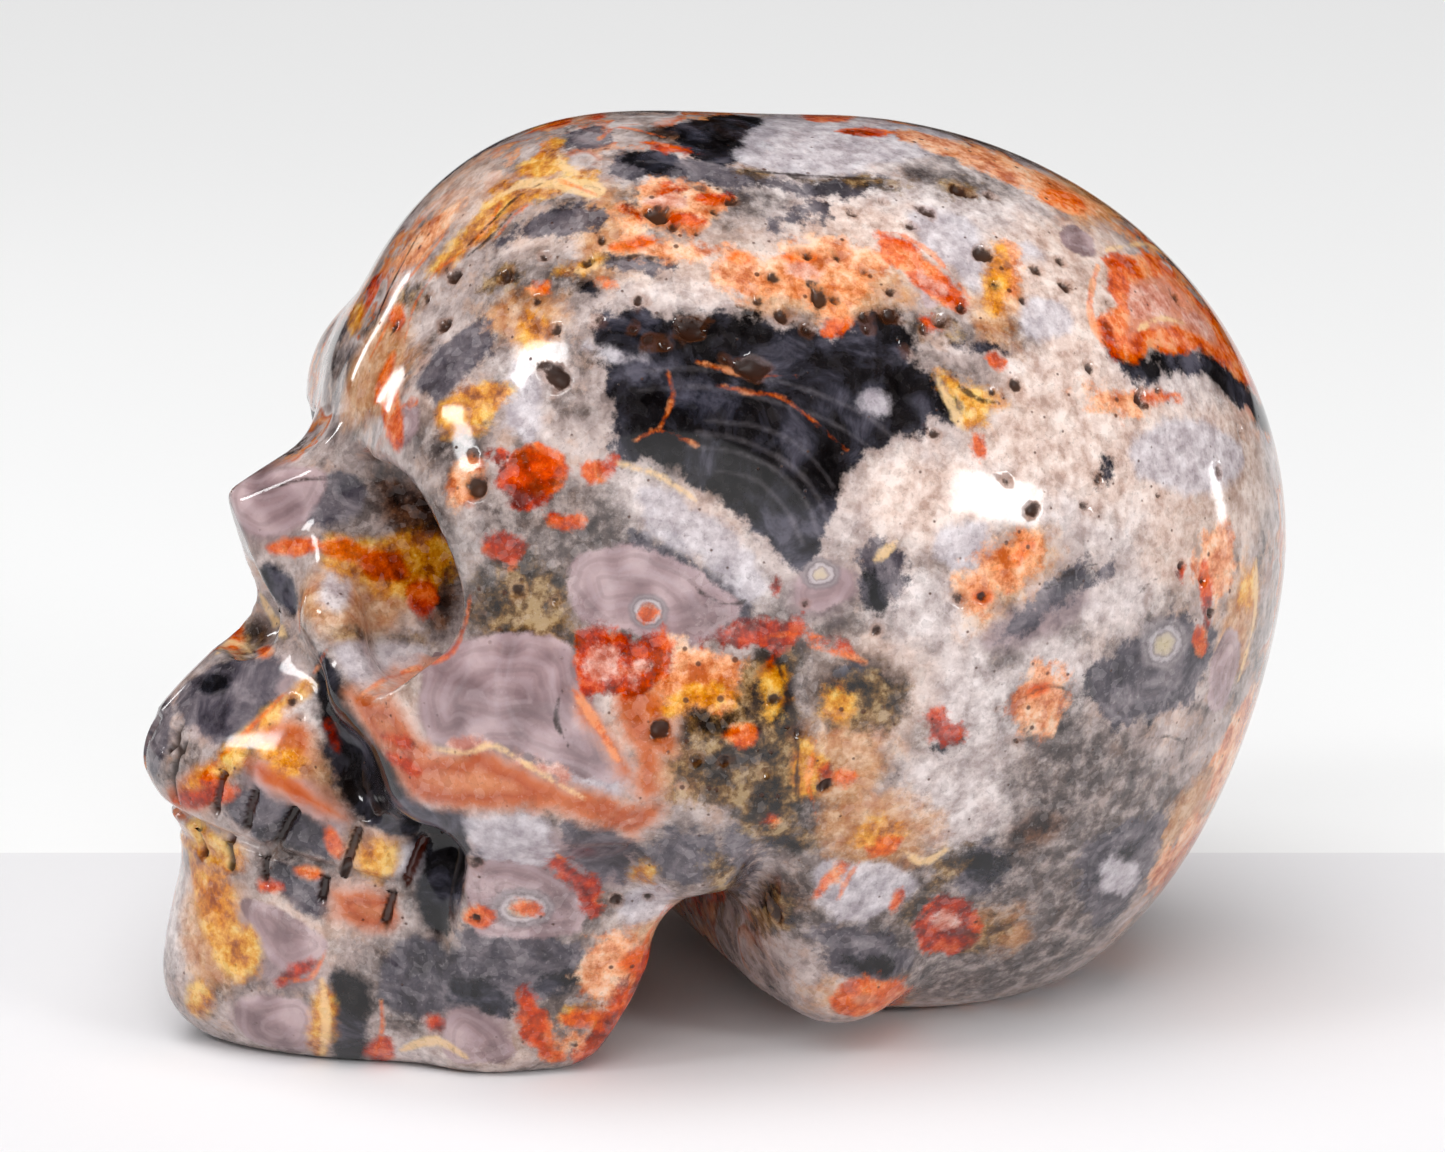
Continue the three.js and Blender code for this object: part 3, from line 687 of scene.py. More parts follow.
# Black stone, and painted shade: the outline of the hollow under the cheekbone paints its deep shadow black
# along with the black stone there.
INK_AND_RECESS_SHADE = (
    area((1103, 335), (1118, 352), (1149, 351), (1172, 346), (1206, 352), (1239, 378),
         (1262, 402), (1280, 440), (1262, 424), (1234, 398), (1208, 376), (1172, 372), (1146, 382),
         (1120, 366)),
    area((600, 338), (605, 317), (615, 310), (643, 307), (679, 312), (704, 311), (730, 313),
         (760, 320), (783, 322), (793, 317), (816, 325), (832, 335), (857, 322), (883, 307), (905, 315),
         (930, 365), (955, 400), (950, 420), (925, 425), (880, 450), (855, 470), (835, 500), (830, 530),
         (815, 560), (800, 568), (760, 540), (735, 510), (690, 480), (655, 465), (622, 458), (615, 412),
         (610, 376)),
    area((672, 128), (720, 114), (770, 118), (780, 134), (752, 158), (722, 164), (690, 150)),
    spot(655, 160, 30, 10, 6),
    # painted shade: the hollow under the cheekbone, black for its shadow as well as its stone
    area((318, 672), (332, 652), (368, 720), (395, 760), (430, 805), (472, 810), (474, 838),
         (400, 834), (350, 808), (328, 745)),
    area((262, 560), (285, 566), (302, 590), (298, 616), (280, 600), (268, 582)),
    area((415, 836), (470, 836), (466, 890), (448, 930), (425, 925), (420, 880)),
    area((336, 972), (372, 980), (376, 1020), (366, 1060), (338, 1058)),
    area((455, 975), (490, 985), (513, 1000), (508, 1018), (480, 1008), (454, 1000)),
    area((540, 974), (580, 968), (594, 976), (584, 988), (545, 990)),
    spot(862, 690, 34, 20, -8),
    spot(985, 865, 24, 16, 0),
    spot(984, 348, 26, 6, 4),
    spot(952, 743, 14, 5, -20),
    spot(882, 590, 12, 22, 0),
    spot(218, 683, 17, 10, -20),
    spot(482, 858, 9, 10, 0),
    spot(870, 965, 30, 10, 10),
    spot(592, 290, 8, 8, 0),
    spot(1110, 470, 10, 14, 0),
    area((745, 700), (775, 660), (800, 690), (796, 740), (800, 800), (780, 820), (768, 780),
         (770, 730)),
    spot(786, 838, 26, 10, 20),
    spot(780, 905, 16, 20, 0),
    spot(1120, 862, 34, 7, -40),
)
# Lilac-white stone, and painted sheen: the first and third outlines whiten the top of the crown for the soft
# reflection that lies there.
CLOUD_AND_SHEEN = (
    area((748, 150), (770, 116), (820, 113), (900, 122), (960, 138), (930, 156), (870, 164), (800, 172)),
    spot(878, 402, 17, 12, 20),
    area((781, 116), (840, 112), (900, 123), (940, 150), (883, 162), (844, 174), (801, 177),
         (755, 166), (737, 157), (755, 136)),
    spot(1189, 456, 58, 38, 6),
    spot(1048, 318, 28, 22, 30),
    spot(1031, 251, 16, 10, 10),
    spot(965, 545, 30, 26, 0),
    area((905, 212), (940, 208), (978, 228), (988, 270), (982, 294), (960, 272), (930, 250)),
    area((512, 372), (530, 352), (540, 380), (545, 430), (530, 442), (505, 418)),
    area((820, 868), (860, 862), (900, 866), (922, 884), (900, 905), (860, 922), (826, 912)),
    area((472, 814), (540, 816), (562, 850), (540, 866), (500, 866), (476, 846)),
    area((642, 488), (680, 494), (730, 530), (770, 580), (756, 600), (720, 574), (680, 548),
         (650, 530)),
    spot(1120, 875, 20, 20, 0),
    spot(650, 905, 28, 18, -30),
    spot(340, 590, 16, 22, 0),
    area((540, 690), (580, 700), (610, 750), (632, 782), (600, 790), (560, 756)),
    area((404, 744), (430, 752), (452, 790), (440, 806), (420, 796), (402, 770)),
    spot(412, 862, 13, 20, 0),
    area((340, 646), (380, 640), (430, 646), (420, 664), (372, 686), (350, 670)),
    spot(610, 352, 40, 6, 10),
)
LILAC = (
    area((576, 560), (610, 545), (660, 548), (700, 570), (740, 600), (742, 622), (715, 640),
         (680, 645), (640, 632), (590, 625), (572, 595)),
    area((436, 650), (470, 640), (520, 632), (566, 640), (585, 680), (606, 730), (632, 776),
         (590, 778), (540, 756), (480, 745), (436, 742), (424, 700)),
    area((474, 868), (520, 862), (570, 880), (590, 910), (580, 932), (520, 938), (476, 930)),
    area((236, 490), (262, 474), (310, 466), (330, 480), (310, 520), (270, 535), (244, 525)),
    spot(826, 588, 34, 22, -20),
    area((244, 900), (276, 905), (330, 940), (320, 960), (290, 972), (262, 940)),
    area((243, 1000), (290, 996), (316, 1010), (312, 1050), (270, 1046), (245, 1030)),
    area((455, 1010), (490, 1016), (520, 1050), (500, 1062), (450, 1058)),
    spot(1225, 670, 14, 44, 12),
    spot(410, 424, 12, 26, 20),
    spot(935, 290, 12, 20, 20),
    area((258, 760), (290, 766), (330, 800), (326, 820), (290, 800), (262, 786)),
    spot(1080, 240, 20, 12, 30),
)
# The ringed eyes, each given as a spot is
EYES = (
    (823, 574, 20, 17, -10),
    (1166, 643, 25, 30, 30),
    (652, 612, 22, 18, 0),
    (526, 908, 34, 22, 0),
)
# Dark brown stone, and painted shade: the first two outlines paint the deep shadow inside the eye socket
# dark brown.
UMBER_AND_SOCKET_SHADE = (
    area((372, 470), (402, 474), (436, 506), (456, 548), (462, 600), (446, 640), (430, 600), (424, 548),
         (404, 508)),
    area((385, 470), (410, 490), (440, 530), (462, 590), (462, 620), (440, 640), (425, 600),
         (400, 570), (410, 540), (385, 515)),
    spot(264, 636, 10, 16, 20),
    area((700, 690), (740, 680), (790, 700), (800, 760), (780, 810), (740, 806), (690, 780),
         (670, 750), (680, 720)),
    spot(505, 610, 40, 20, 0),
    spot(640, 905, 10, 10, 0),
    spot(596, 904, 12, 16, 0),
    spot(520, 950, 50, 14, 10),
    spot(860, 690, 46, 36, 0),
    spot(785, 900, 24, 24, 0),
    spot(700, 140, 60, 10, 10),
    spot(640, 330, 30, 12, 10),
    spot(700, 400, 60, 20, 10),
    spot(1010, 660, 14, 6, 0),
    spot(1040, 830, 30, 14, -20),
)
OLIVE = (
    area((726, 730), (770, 722), (800, 760), (806, 830), (770, 842), (736, 815), (720, 770)),
    area((486, 575), (520, 556), (556, 562), (578, 590), (572, 650), (500, 645), (484, 610)),
    area((700, 700), (730, 670), (770, 650), (800, 660), (800, 760), (790, 800), (750, 806),
         (700, 800), (668, 780), (672, 740)),
    spot(864, 700, 40, 30, -8),
    spot(520, 604, 40, 22, 0),
    spot(510, 622, 44, 10, 0),
    spot(940, 322, 20, 12, 20),
    spot(964, 190, 16, 8, 0),
    spot(508, 276, 22, 10, -20),
    spot(414, 296, 12, 14, 0),
    area((909, 900), (940, 864), (968, 842), (960, 870), (930, 905), (912, 925)),
    spot(985, 935, 24, 16, -20),
    spot(775, 915, 20, 20, 0),
    spot(800, 838, 22, 12, 0),
    spot(385, 640, 50, 8, 6),
    spot(725, 880, 16, 22, 30),
    spot(248, 640, 14, 20, 30),
    spot(238, 752, 20, 10, -10),
    spot(880, 182, 30, 5, 0),
    spot(790, 172, 50, 5, 3),
)
PEACH = (
    area((776, 246), (832, 236), (870, 259), (878, 284), (857, 302), (837, 333), (819, 317),
         (793, 297), (763, 292), (720, 286), (724, 262), (755, 256)),
    area((615, 195), (643, 197), (653, 182), (684, 182), (737, 197), (730, 208), (712, 223),
         (689, 228), (663, 233), (643, 225), (622, 213)),
    area((610, 246), (645, 232), (679, 240), (704, 250), (690, 258), (640, 256)),
    area((650, 650), (700, 646), (746, 660), (740, 700), (700, 712), (660, 700)),
    area((960, 575), (1000, 545), (1040, 535), (1050, 560), (1000, 600), (972, 612)),
    area((900, 128), (960, 140), (1040, 170), (1100, 205), (1090, 214), (1030, 190), (960, 160),
         (905, 140)),
    spot(742, 256, 22, 12, 10),
    spot(1040, 700, 26, 40, 20),
    spot(860, 262, 30, 16, 0),
    spot(616, 970, 34, 40, 30),
    spot(1230, 750, 10, 60, 20),
    spot(1180, 850, 10, 50, 40),
    spot(700, 940, 20, 16, 0),
    spot(1220, 560, 20, 40, 0),
    spot(430, 238, 10, 50, 42),
    spot(470, 480, 16, 30, 10),
    spot(1010, 270, 16, 30, 0),
    spot(600, 1040, 26, 16, 0),
    spot(1110, 400, 40, 10, 20),
)
HONEY = (
    area((482, 214), (500, 182), (520, 176), (600, 178), (566, 192), (520, 210), (494, 236),
         (470, 256), (440, 276), (428, 272), (452, 244)),
    area((515, 172), (546, 150), (561, 138), (570, 160), (597, 174), (560, 176), (530, 180)),
    spot(475, 409, 40, 24, -30),
    area((942, 372), (960, 378), (985, 392), (1008, 404), (990, 414), (985, 427), (970, 427),
         (960, 408), (950, 395)),
    spot(1000, 278, 13, 34, 0),
    spot(538, 330, 16, 16, 0),
    spot(578, 266, 24, 5, -16),
    area((330, 536), (380, 540), (430, 530), (452, 545), (450, 580), (400, 600), (350, 570)),
    spot(352, 560, 26, 16, 0),
    spot(382, 858, 22, 20, -20),
    area((186, 830), (240, 842), (246, 870), (214, 862), (188, 846)),
    area((192, 820), (230, 850), (244, 930), (262, 960), (246, 980), (220, 960), (200, 900)),
    spot(205, 1000, 14, 18, 0),
    spot(254, 950, 12, 28, -10),
    area((300, 684), (312, 690), (262, 736), (240, 768), (200, 790), (190, 782), (240, 738)),
    spot(286, 758, 30, 12, 20),
    spot(885, 834, 22, 18, -20),
    spot(840, 700, 14, 20, 0),
    spot(650, 872, 14, 10, 0),
    spot(812, 770, 14, 30, 0),
    spot(1250, 590, 8, 26, 10),
    spot(590, 1016, 24, 10, 0),
    spot(360, 317, 8, 16, 10),
    spot(700, 700, 40, 12, -10),
    spot(236, 600, 22, 14, -30),
    spot(326, 1020, 12, 38, 4),
    spot(640, 660, 8, 10, 0),
    spot(780, 690, 16, 30, 0),
)
ORANGE = (
    area((1107, 257), (1132, 254), (1149, 251), (1177, 274), (1197, 296), (1217, 321),
         (1228, 341), (1253, 377), (1257, 391), (1225, 366), (1203, 349), (1172, 352),
         (1149, 349), (1141, 363), (1124, 358), (1113, 341), (1096, 324), (1118, 304),
         (1107, 288), (1113, 271)),
    area((880, 237), (900, 238), (920, 250), (942, 268), (962, 290), (970, 305), (962, 312),
         (945, 304), (925, 290), (900, 268), (885, 255)),
    spot(1065, 200, 24, 10, 20),
    spot(1001, 361, 12, 7, 20),
    spot(981, 447, 6, 13, 0),
    spot(742, 257, 12, 6, 10),
    spot(338, 842, 9, 18, -20),
    spot(312, 872, 14, 5, 8),
    spot(847, 777, 14, 7, -10),
    spot(884, 846, 18, 10, -20),
    spot(832, 880, 6, 24, 40),
    spot(900, 900, 6, 14, 30),
    area((838, 990), (870, 974), (912, 984), (900, 1004), (860, 1016), (836, 1008)),
    area((520, 990), (536, 1000), (560, 1040), (566, 1060), (546, 1058), (528, 1030)),
    spot(588, 1018, 24, 9, 0),
    spot(528, 908, 16, 9, 0),
    spot(652, 613, 8, 8, 0),
    spot(483, 916, 18, 12, 0),
    spot(1016, 556, 26, 7, -40),
    spot(985, 596, 10, 8, 0),
    spot(610, 283, 12, 5, 10),
    spot(543, 288, 12, 6, 0),
    spot(640, 243, 24, 5, -10),
    spot(870, 131, 30, 4, 2),
    spot(388, 378, 6, 30, 20),
    spot(401, 317, 8, 14, 10),
    spot(395, 412, 10, 40, -10),
    spot(416, 402, 5, 4, 0),
    spot(540, 470, 30, 26, 0),
    spot(505, 550, 20, 8, 10),
    spot(570, 520, 20, 8, 0),
    spot(600, 470, 14, 10, 0),
    spot(350, 550, 26, 12, 10),
    spot(1040, 690, 14, 6, -20),
    spot(1120, 350, 20, 6, 40),
    spot(1160, 396, 30, 6, 0),
    spot(300, 546, 28, 8, -6),
    spot(270, 650, 8, 6, 0),
    spot(640, 960, 20, 10, -20),
    spot(840, 326, 16, 8, -20),
    spot(805, 258, 20, 6, 0),
    spot(1200, 640, 8, 14, 0),
    spot(776, 820, 8, 6, 0),
    spot(745, 735, 16, 12, 0),
)
RED = (
    area((502, 470), (530, 450), (556, 466), (550, 500), (522, 508), (506, 492)),
    area((486, 540), (512, 530), (534, 546), (512, 566)),
    area((579, 636), (592, 628), (618, 630), (640, 642), (668, 628), (680, 650), (664, 680),
         (645, 697), (616, 696), (590, 690), (580, 664)),
    area((700, 640), (716, 632), (770, 622), (806, 618), (812, 636), (790, 648), (776, 668),
         (760, 650), (720, 646), (704, 650)),
    area((928, 712), (944, 704), (962, 722), (966, 730), (946, 744), (930, 738)),
    area((919, 912), (938, 896), (964, 898), (982, 918), (974, 944), (944, 956), (922, 944)),
    spot(386, 566, 26, 16, 10),
    spot(425, 598, 16, 20, 0),
    spot(212, 780, 10, 9, 0),
    spot(212, 795, 34, 10, -10),
    spot(276, 886, 12, 7, 0),
    spot(300, 972, 24, 6, -28),
    spot(437, 1023, 8, 10, 0),
    spot(385, 1050, 14, 14, 0),
    spot(545, 462, 16, 9, 10),
    spot(530, 488, 12, 8, 0),
    spot(565, 516, 14, 5, 0),
    spot(613, 466, 10, 8, 0),
    spot(500, 452, 12, 6, 0),
    spot(512, 546, 12, 6, 20),
    spot(549, 470, 22, 5, 30),
    area((600, 876), (566, 858), (556, 866), (580, 890), (592, 915), (604, 912), (604, 890)),
    spot(700, 902, 30, 6, -12),
    spot(655, 985, 5, 60, 22),
    spot(535, 1010, 7, 24, -30),
    spot(1183, 568, 6, 9, 0),
    spot(1208, 590, 6, 34, 0),
    spot(1040, 684, 10, 3, -20),
    spot(720, 198, 16, 6, 0),
    spot(690, 218, 16, 5, 0),
    spot(636, 212, 14, 5, 20),
    spot(672, 188, 18, 4, 0),
    spot(930, 322, 14, 4, 30),
    spot(955, 298, 16, 4, 36),
    spot(900, 240, 20, 3, 20),
    spot(835, 645, 22, 3, 16),
    spot(779, 582, 4, 14, 6),
    spot(675, 148, 30, 4, 12),
    spot(865, 132, 24, 3, 4),
    spot(404, 742, 20, 5, 20),
    spot(335, 735, 5, 20, -20),
    spot(405, 762, 22, 6, 30),
    spot(828, 780, 6, 12, 0),
    spot(606, 640, 14, 8, 20),
    spot(1122, 262, 14, 4, 0),
    spot(1112, 340, 4, 22, -20),
    spot(376, 290, 5, 18, 20),
    spot(540, 1040, 20, 5, 50),
)
PINK_CRYSTAL = (
    spot(606, 662, 18, 16, 20),
    spot(640, 668, 14, 12, 0),
    spot(1150, 300, 26, 16, 30),
    spot(1200, 325, 22, 7, 40),
    spot(935, 284, 15, 5, 38),
    spot(668, 200, 18, 7, 0),
    spot(806, 270, 20, 8, 0),
    spot(545, 768, 30, 6, 14),
    spot(480, 744, 30, 6, 0),
    spot(950, 920, 14, 10, 0),
)
CREAM = (
    area((506, 194), (526, 178), (560, 178), (597, 180), (610, 188), (599, 198), (564, 190),
         (530, 188)),
    vein(3, (560, 150), (568, 166), (590, 176)),
    vein(4, (940, 378), (950, 400), (966, 428)),
    vein(3, (622, 462), (660, 474), (700, 500)),
    vein(3, (1107, 250), (1150, 244), (1185, 272), (1222, 318)),
    vein(4, (256, 655), (236, 640), (220, 655)),
    vein(5, (262, 590), (276, 615), (290, 640)),
    vein(5, (326, 980), (330, 1020), (326, 1056)),
    vein(3, (905, 850), (925, 862), (950, 850)),
    vein(6, (405, 1050), (440, 1040), (470, 1058)),
    vein(3, (566, 270), (590, 268), (612, 258)),
    vein(2.5, (436, 748), (470, 752), (500, 746), (545, 774), (590, 798)),
    vein(3, (880, 560), (900, 540)),
    vein(4, (1258, 560), (1256, 620), (1240, 680)),
    vein(2, (1140, 330), (1160, 318), (1186, 322)),
)
ORANGE_VEINS = (
    vein(1.4, (720, 385), (755, 392), (790, 400), (850, 450)),
    vein(1.5, (670, 370), (676, 398), (662, 430)),
    vein(1.0, (700, 360), (740, 372), (800, 376)),
    vein(1.2, (640, 440), (662, 430), (700, 444)),
    vein(3.5, (366, 693), (395, 676), (449, 656), (466, 630), (474, 596)),
    vein(3.0, (602, 139), (622, 126), (666, 136)),
    vein(3.5, (643, 141), (670, 144), (704, 154)),
    vein(2.2, (811, 645), (840, 652), (868, 662)),
    vein(2.0, (598, 876), (575, 866), (556, 850)),
    vein(3.0, (670, 905), (650, 940), (632, 990), (618, 1030)),
    vein(3.0, (1100, 265), (1092, 300), (1098, 330), (1112, 348)),
    vein(3.0, (1172, 262), (1210, 305), (1240, 350)),
    vein(2.5, (880, 232), (905, 234), (940, 258), (972, 298)),
    vein(3.0, (506, 194), (494, 222), (466, 250), (440, 270)),
    vein(2.5, (540, 200), (520, 212), (500, 236)),
    vein(2.0, (560, 178), (580, 186), (606, 196)),
    vein(2.5, (382, 330), (396, 300), (420, 268), (446, 236)),
    vein(2.5, (372, 360), (388, 330), (398, 306)),
    vein(2.0, (760, 640), (800, 632), (830, 640)),
    vein(2.5, (292, 690), (266, 716), (238, 744), (206, 776)),
    vein(2.0, (330, 650), (318, 672)),
    vein(2.5, (578, 690), (600, 722), (622, 760)),
    vein(2.5, (840, 900), (850, 880), (862, 862)),
    vein(2.0, (820, 740), (812, 780), (820, 820)),
    vein(2.0, (445, 262), (420, 300), (408, 340)),
    vein(2.0, (330, 950), (314, 978), (284, 978)),
    vein(2.0, (385, 1000), (386, 1030), (378, 1060)),
)
DARK_VEINS = (
    vein(2.2, (375, 332), (392, 290), (421, 235)),
    vein(2.0, (745, 169), (800, 174), (878, 178)),
    vein(2.4, (607, 260), (632, 256), (660, 257)),
    vein(2.0, (960, 384), (980, 398), (1000, 402)),
    vein(1.6, (545, 182), (520, 196), (500, 216), (470, 246)),
    vein(1.4, (514, 214), (490, 240), (462, 262)),
    vein(2.0, (1047, 589), (1070, 574), (1100, 563)),
    vein(1.8, (1132, 602), (1146, 588), (1160, 577)),
    vein(2.0, (772, 640), (790, 690), (800, 740), (800, 800)),
    vein(1.6, (740, 700), (760, 720), (772, 760)),
    vein(1.5, (640, 345), (668, 350), (700, 340)),
    vein(1.4, (1104, 338), (1118, 356), (1140, 366)),
    vein(1.6, (560, 210), (584, 206), (606, 208)),
    vein(1.4, (500, 560), (540, 575), (570, 560)),
    vein(1.5, (700, 590), (730, 604), (750, 600)),
    vein(1.8, (390, 830), (430, 836), (470, 838)),
    vein(1.2, (236, 500), (300, 480), (340, 478)),
    vein(1.5, (956, 880), (936, 905), (912, 930)),
    vein(1.2, (1020, 700), (1050, 686), (1070, 690)),
    vein(1.2, (1146, 740), (1170, 736), (1190, 744)),
    vein(1.5, (566, 690), (560, 720), (575, 750)),
)
PALE_LINES = (
    vein(1.3, (700, 432), (745, 440), (790, 462), (818, 492), (832, 524)),
    vein(1.1, (690, 446), (740, 452), (780, 470), (808, 500), (822, 536)),
    vein(1.0, (708, 420), (760, 426), (806, 448), (836, 486)),
    vein(0.9, (720, 470), (760, 480), (790, 510), (806, 544)),
    vein(1.0, (630, 372), (700, 368), (780, 380), (860, 410), (900, 440)),
    vein(0.9, (640, 390), (700, 386), (760, 396), (830, 420), (880, 452)),
    vein(1.2, (478, 640), (468, 680), (440, 716)),
    vein(1.2, (520, 640), (510, 680), (516, 716), (548, 750), (600, 776)),
    vein(1.0, (508, 640), (500, 684), (506, 726), (540, 762)),
    vein(1.2, (462, 733), (480, 720), (506, 720), (530, 742)),
    vein(1.0, (560, 650), (556, 700), (580, 750)),
    vein(1.0, (480, 850), (520, 858), (570, 874), (592, 906)),
    vein(1.0, (560, 836), (575, 856), (596, 860), (606, 854)),
    vein(1.2, (1100, 700), (1130, 720), (1175, 706), (1206, 670)),
    vein(1.0, (1112, 690), (1140, 702), (1174, 690), (1196, 660)),
    vein(1.2, (1090, 880), (1100, 850), (1130, 835), (1156, 834)),
    vein(1.0, (610, 590), (640, 574), (680, 584), (706, 610)),
    vein(1.0, (596, 600), (640, 562), (700, 580), (728, 612)),
    vein(1.0, (430, 340), (455, 334), (488, 330)),
    vein(1.0, (434, 372), (450, 352), (484, 340)),
    vein(1.0, (640, 160), (690, 162), (730, 160)),
    vein(1.0, (204, 700), (230, 690), (262, 690)),
    vein(1.0, (460, 940), (520, 948), (560, 960)),
)
# Pits in the surface, each its centre and its radius
PITS = (
    (480, 485, 11), (557, 375, 12), (664, 215, 12), (692, 327, 12), (758, 368, 11), (822, 297, 11),
    (985, 250, 10), (1180, 300, 9),
    (477, 455, 4), (650, 339, 4), (636, 330, 4), (668, 348, 5), (730, 359, 4), (742, 362, 4),
    (457, 276, 8), (448, 325, 6), (396, 327, 6), (546, 256, 6), (510, 276, 6), (676, 223, 6),
    (732, 201, 5), (717, 210, 5), (855, 213, 5), (885, 199, 5), (811, 256, 5), (841, 257, 5),
    (867, 270, 5), (775, 276, 5), (838, 299, 6), (867, 317, 5), (893, 316, 6), (893, 292, 4),
    (964, 189, 10), (991, 194, 6), (930, 212, 6), (913, 224, 5), (998, 281, 5), (1068, 285, 8),
    (1064, 262, 5), (964, 307, 6), (945, 321, 7), (928, 330, 6), (1019, 384, 6), (995, 391, 5),
    (1092, 369, 6), (1144, 400, 8), (1160, 389, 5), (1243, 435, 6), (1160, 495, 4), (1086, 506, 5),
    (1034, 509, 5), (936, 433, 4), (963, 599, 6), (985, 596, 5), (664, 729, 9), (700, 760, 6),
    (727, 760, 6), (776, 700, 6), (770, 772, 6), (803, 730, 5), (829, 785, 8), (776, 912, 12),
    (804, 732, 5), (1018, 742, 4), (1000, 709, 4), (480, 918, 6), (482, 862, 6), (620, 900, 6),
    (650, 898, 6), (664, 890, 5), (880, 630, 5), (808, 604, 4), (560, 600, 5), (520, 590, 5),
    (540, 300, 5), (590, 262, 6), (604, 240, 5), (700, 232, 5), (760, 300, 5), (786, 316, 6),
    (812, 330, 6), (905, 345, 5), (1026, 300, 5), (1040, 270, 5), (1110, 300, 4), (1220, 470, 5),
    (1010, 480, 4), (1100, 480, 4), (870, 330, 5), (1183, 566, 5), (1206, 580, 5), (1212, 612, 5),
    (295, 700, 5), (305, 718, 4), (430, 300, 4), (560, 330, 5), (640, 300, 5), (600, 320, 5),
)
AMBER = (
    area((438, 752), (500, 750), (560, 780), (620, 800), (664, 806), (640, 838), (600, 824),
         (560, 812), (450, 808), (410, 790), (390, 752), (366, 716), (372, 690), (400, 700),
         (420, 730)),
    area((615, 700), (640, 690), (664, 740), (664, 790), (640, 800), (632, 750)),
    area((440, 758), (500, 756), (560, 786), (600, 806), (650, 812), (620, 830), (560, 812),
         (450, 808), (424, 790)),
    area((576, 690), (590, 700), (620, 740), (640, 772), (636, 786), (606, 744), (582, 712)),
    area((372, 724), (400, 720), (420, 736), (440, 752), (430, 764), (404, 750), (384, 746)),
    area((263, 722), (290, 716), (318, 730), (316, 758), (290, 764), (264, 748)),
    area((172, 792), (205, 768), (232, 776), (222, 800), (198, 812), (174, 804)),
    area((200, 868), (222, 880), (232, 915), (224, 930), (208, 905), (196, 880)),
    area((338, 884), (396, 898), (394, 930), (350, 924), (334, 910)),
    spot(640, 1000, 12, 40, 20),
    spot(660, 950, 16, 24, 20),
    area((346, 690), (372, 690), (400, 724), (424, 762), (416, 786), (396, 762), (366, 722)),
    spot(655, 720, 26, 40, -20),
    spot(300, 790, 60, 12, 30),
    spot(1228, 330, 12, 40, -30),
    spot(1195, 850, 10, 60, 38),
)


# Saw cuts between the teeth, from end to end in the photograph's pixels
TOOTH_GAPS = (
    (160, 722, 146, 758), (184.7, 727.3, 167.9, 748), (198.7, 751, 170, 797), (232, 776, 213, 811),
    (264.6, 794.6, 242, 829), (298, 811, 279, 847), (362, 830, 349, 871), (428, 841, 410, 884),
    (178, 808, 180, 826), (200, 827, 208, 853), (234, 837, 234, 867), (271.6, 855, 264.6, 876),
    (330, 873, 325, 899), (397, 891, 388, 923),
)
GAP_HALF_WIDTH = 0.42
GAP_EDGE = 0.14
GAP_DEPTH = 0.8
GAP_STEPS = 7
GAP_REACH = 4
FRONT_HALF_WIDTH = 10
MIDDLE_HALF_WIDTH = 1.5


def gap_profile(at, gaps):
    """How much of a saw cut there is at each point, from 0 to 1."""
    profile = np.zeros(len(at), np.float32)
    for start, end in gaps:
        along = end - start
        near = np.flatnonzero(((at - start) ** 2).sum(1) < GAP_REACH**2)
        off = at[near] - start
        t = np.clip(off @ along / (along @ along + TINY), 0, 1)
        aside = np.sqrt(((off - t[:, None] * along) ** 2).sum(1))
        profile[near] = np.maximum(profile[near], smooth((GAP_HALF_WIDTH - aside) / (2 * GAP_EDGE) + 0.5))
    return profile


# Laying the markings on the stone
# A depth inside a marking is read as far out as OUTSIDE millimetres, and an eye as far as
# EYE_OUTSIDE times its radius. A marking is kept where SEEN_SHARE of its path meets the form.
FAR_AZIMUTH = CAMERA_AZIMUTH + 180
TURN_CENTRE = np.array((740.0, 565.0))
OUTSIDE = -4.0
EYE_OUTSIDE = 3.0
DEPTH_SHARE = 0.6
DEPTH_LEAST = 3.0
SEEN_SHARE = 0.6
HALF_DEPTH = 75
START_REACH = CAMERA_DISTANCE - HALF_DEPTH
END_REACH = CAMERA_DISTANCE + HALF_DEPTH
CAST_STEPS = 70
CAST_CAUTION = 0.85
CLOSE_ENOUGH = 0.04
NEAR_MISS = 1


def cast(pixels, picture):
    """The point of the form behind each pixel, and whether the pixel's ray meets the form."""
    place, right, up, back, length = picture
    across = (pixels[:, :1] - PHOTO_WIDTH / 2) / length
    down = (pixels[:, 1:] - PHOTO_HEIGHT / 2) / length
    rays = right * across - up * down - back
    rays /= np.linalg.norm(rays, axis=1)[:, None]
    reach = np.full(len(rays), float(START_REACH))
    best_reach = reach.copy()
    best_gap = np.full(len(rays), np.inf)
    moving = np.arange(len(rays))
    for _ in range(CAST_STEPS):
        gap = form_at((place + rays[moving] * reach[moving, None]).astype(np.float32))
        nearer = gap < best_gap[moving]
        best_gap[moving[nearer]] = gap[nearer]
        best_reach[moving[nearer]] = reach[moving[nearer]]
        reach[moving] += np.maximum(gap * CAST_CAUTION, CLOSE_ENOUGH)
        moving = moving[(gap > CLOSE_ENOUGH) & (reach[moving] < END_REACH)]
    met = settle((place + rays * best_reach[:, None]).astype(np.float32))
    return met, best_gap < NEAR_MISS


VEIN_TIP = 0.3
UPRIGHT = 0.9


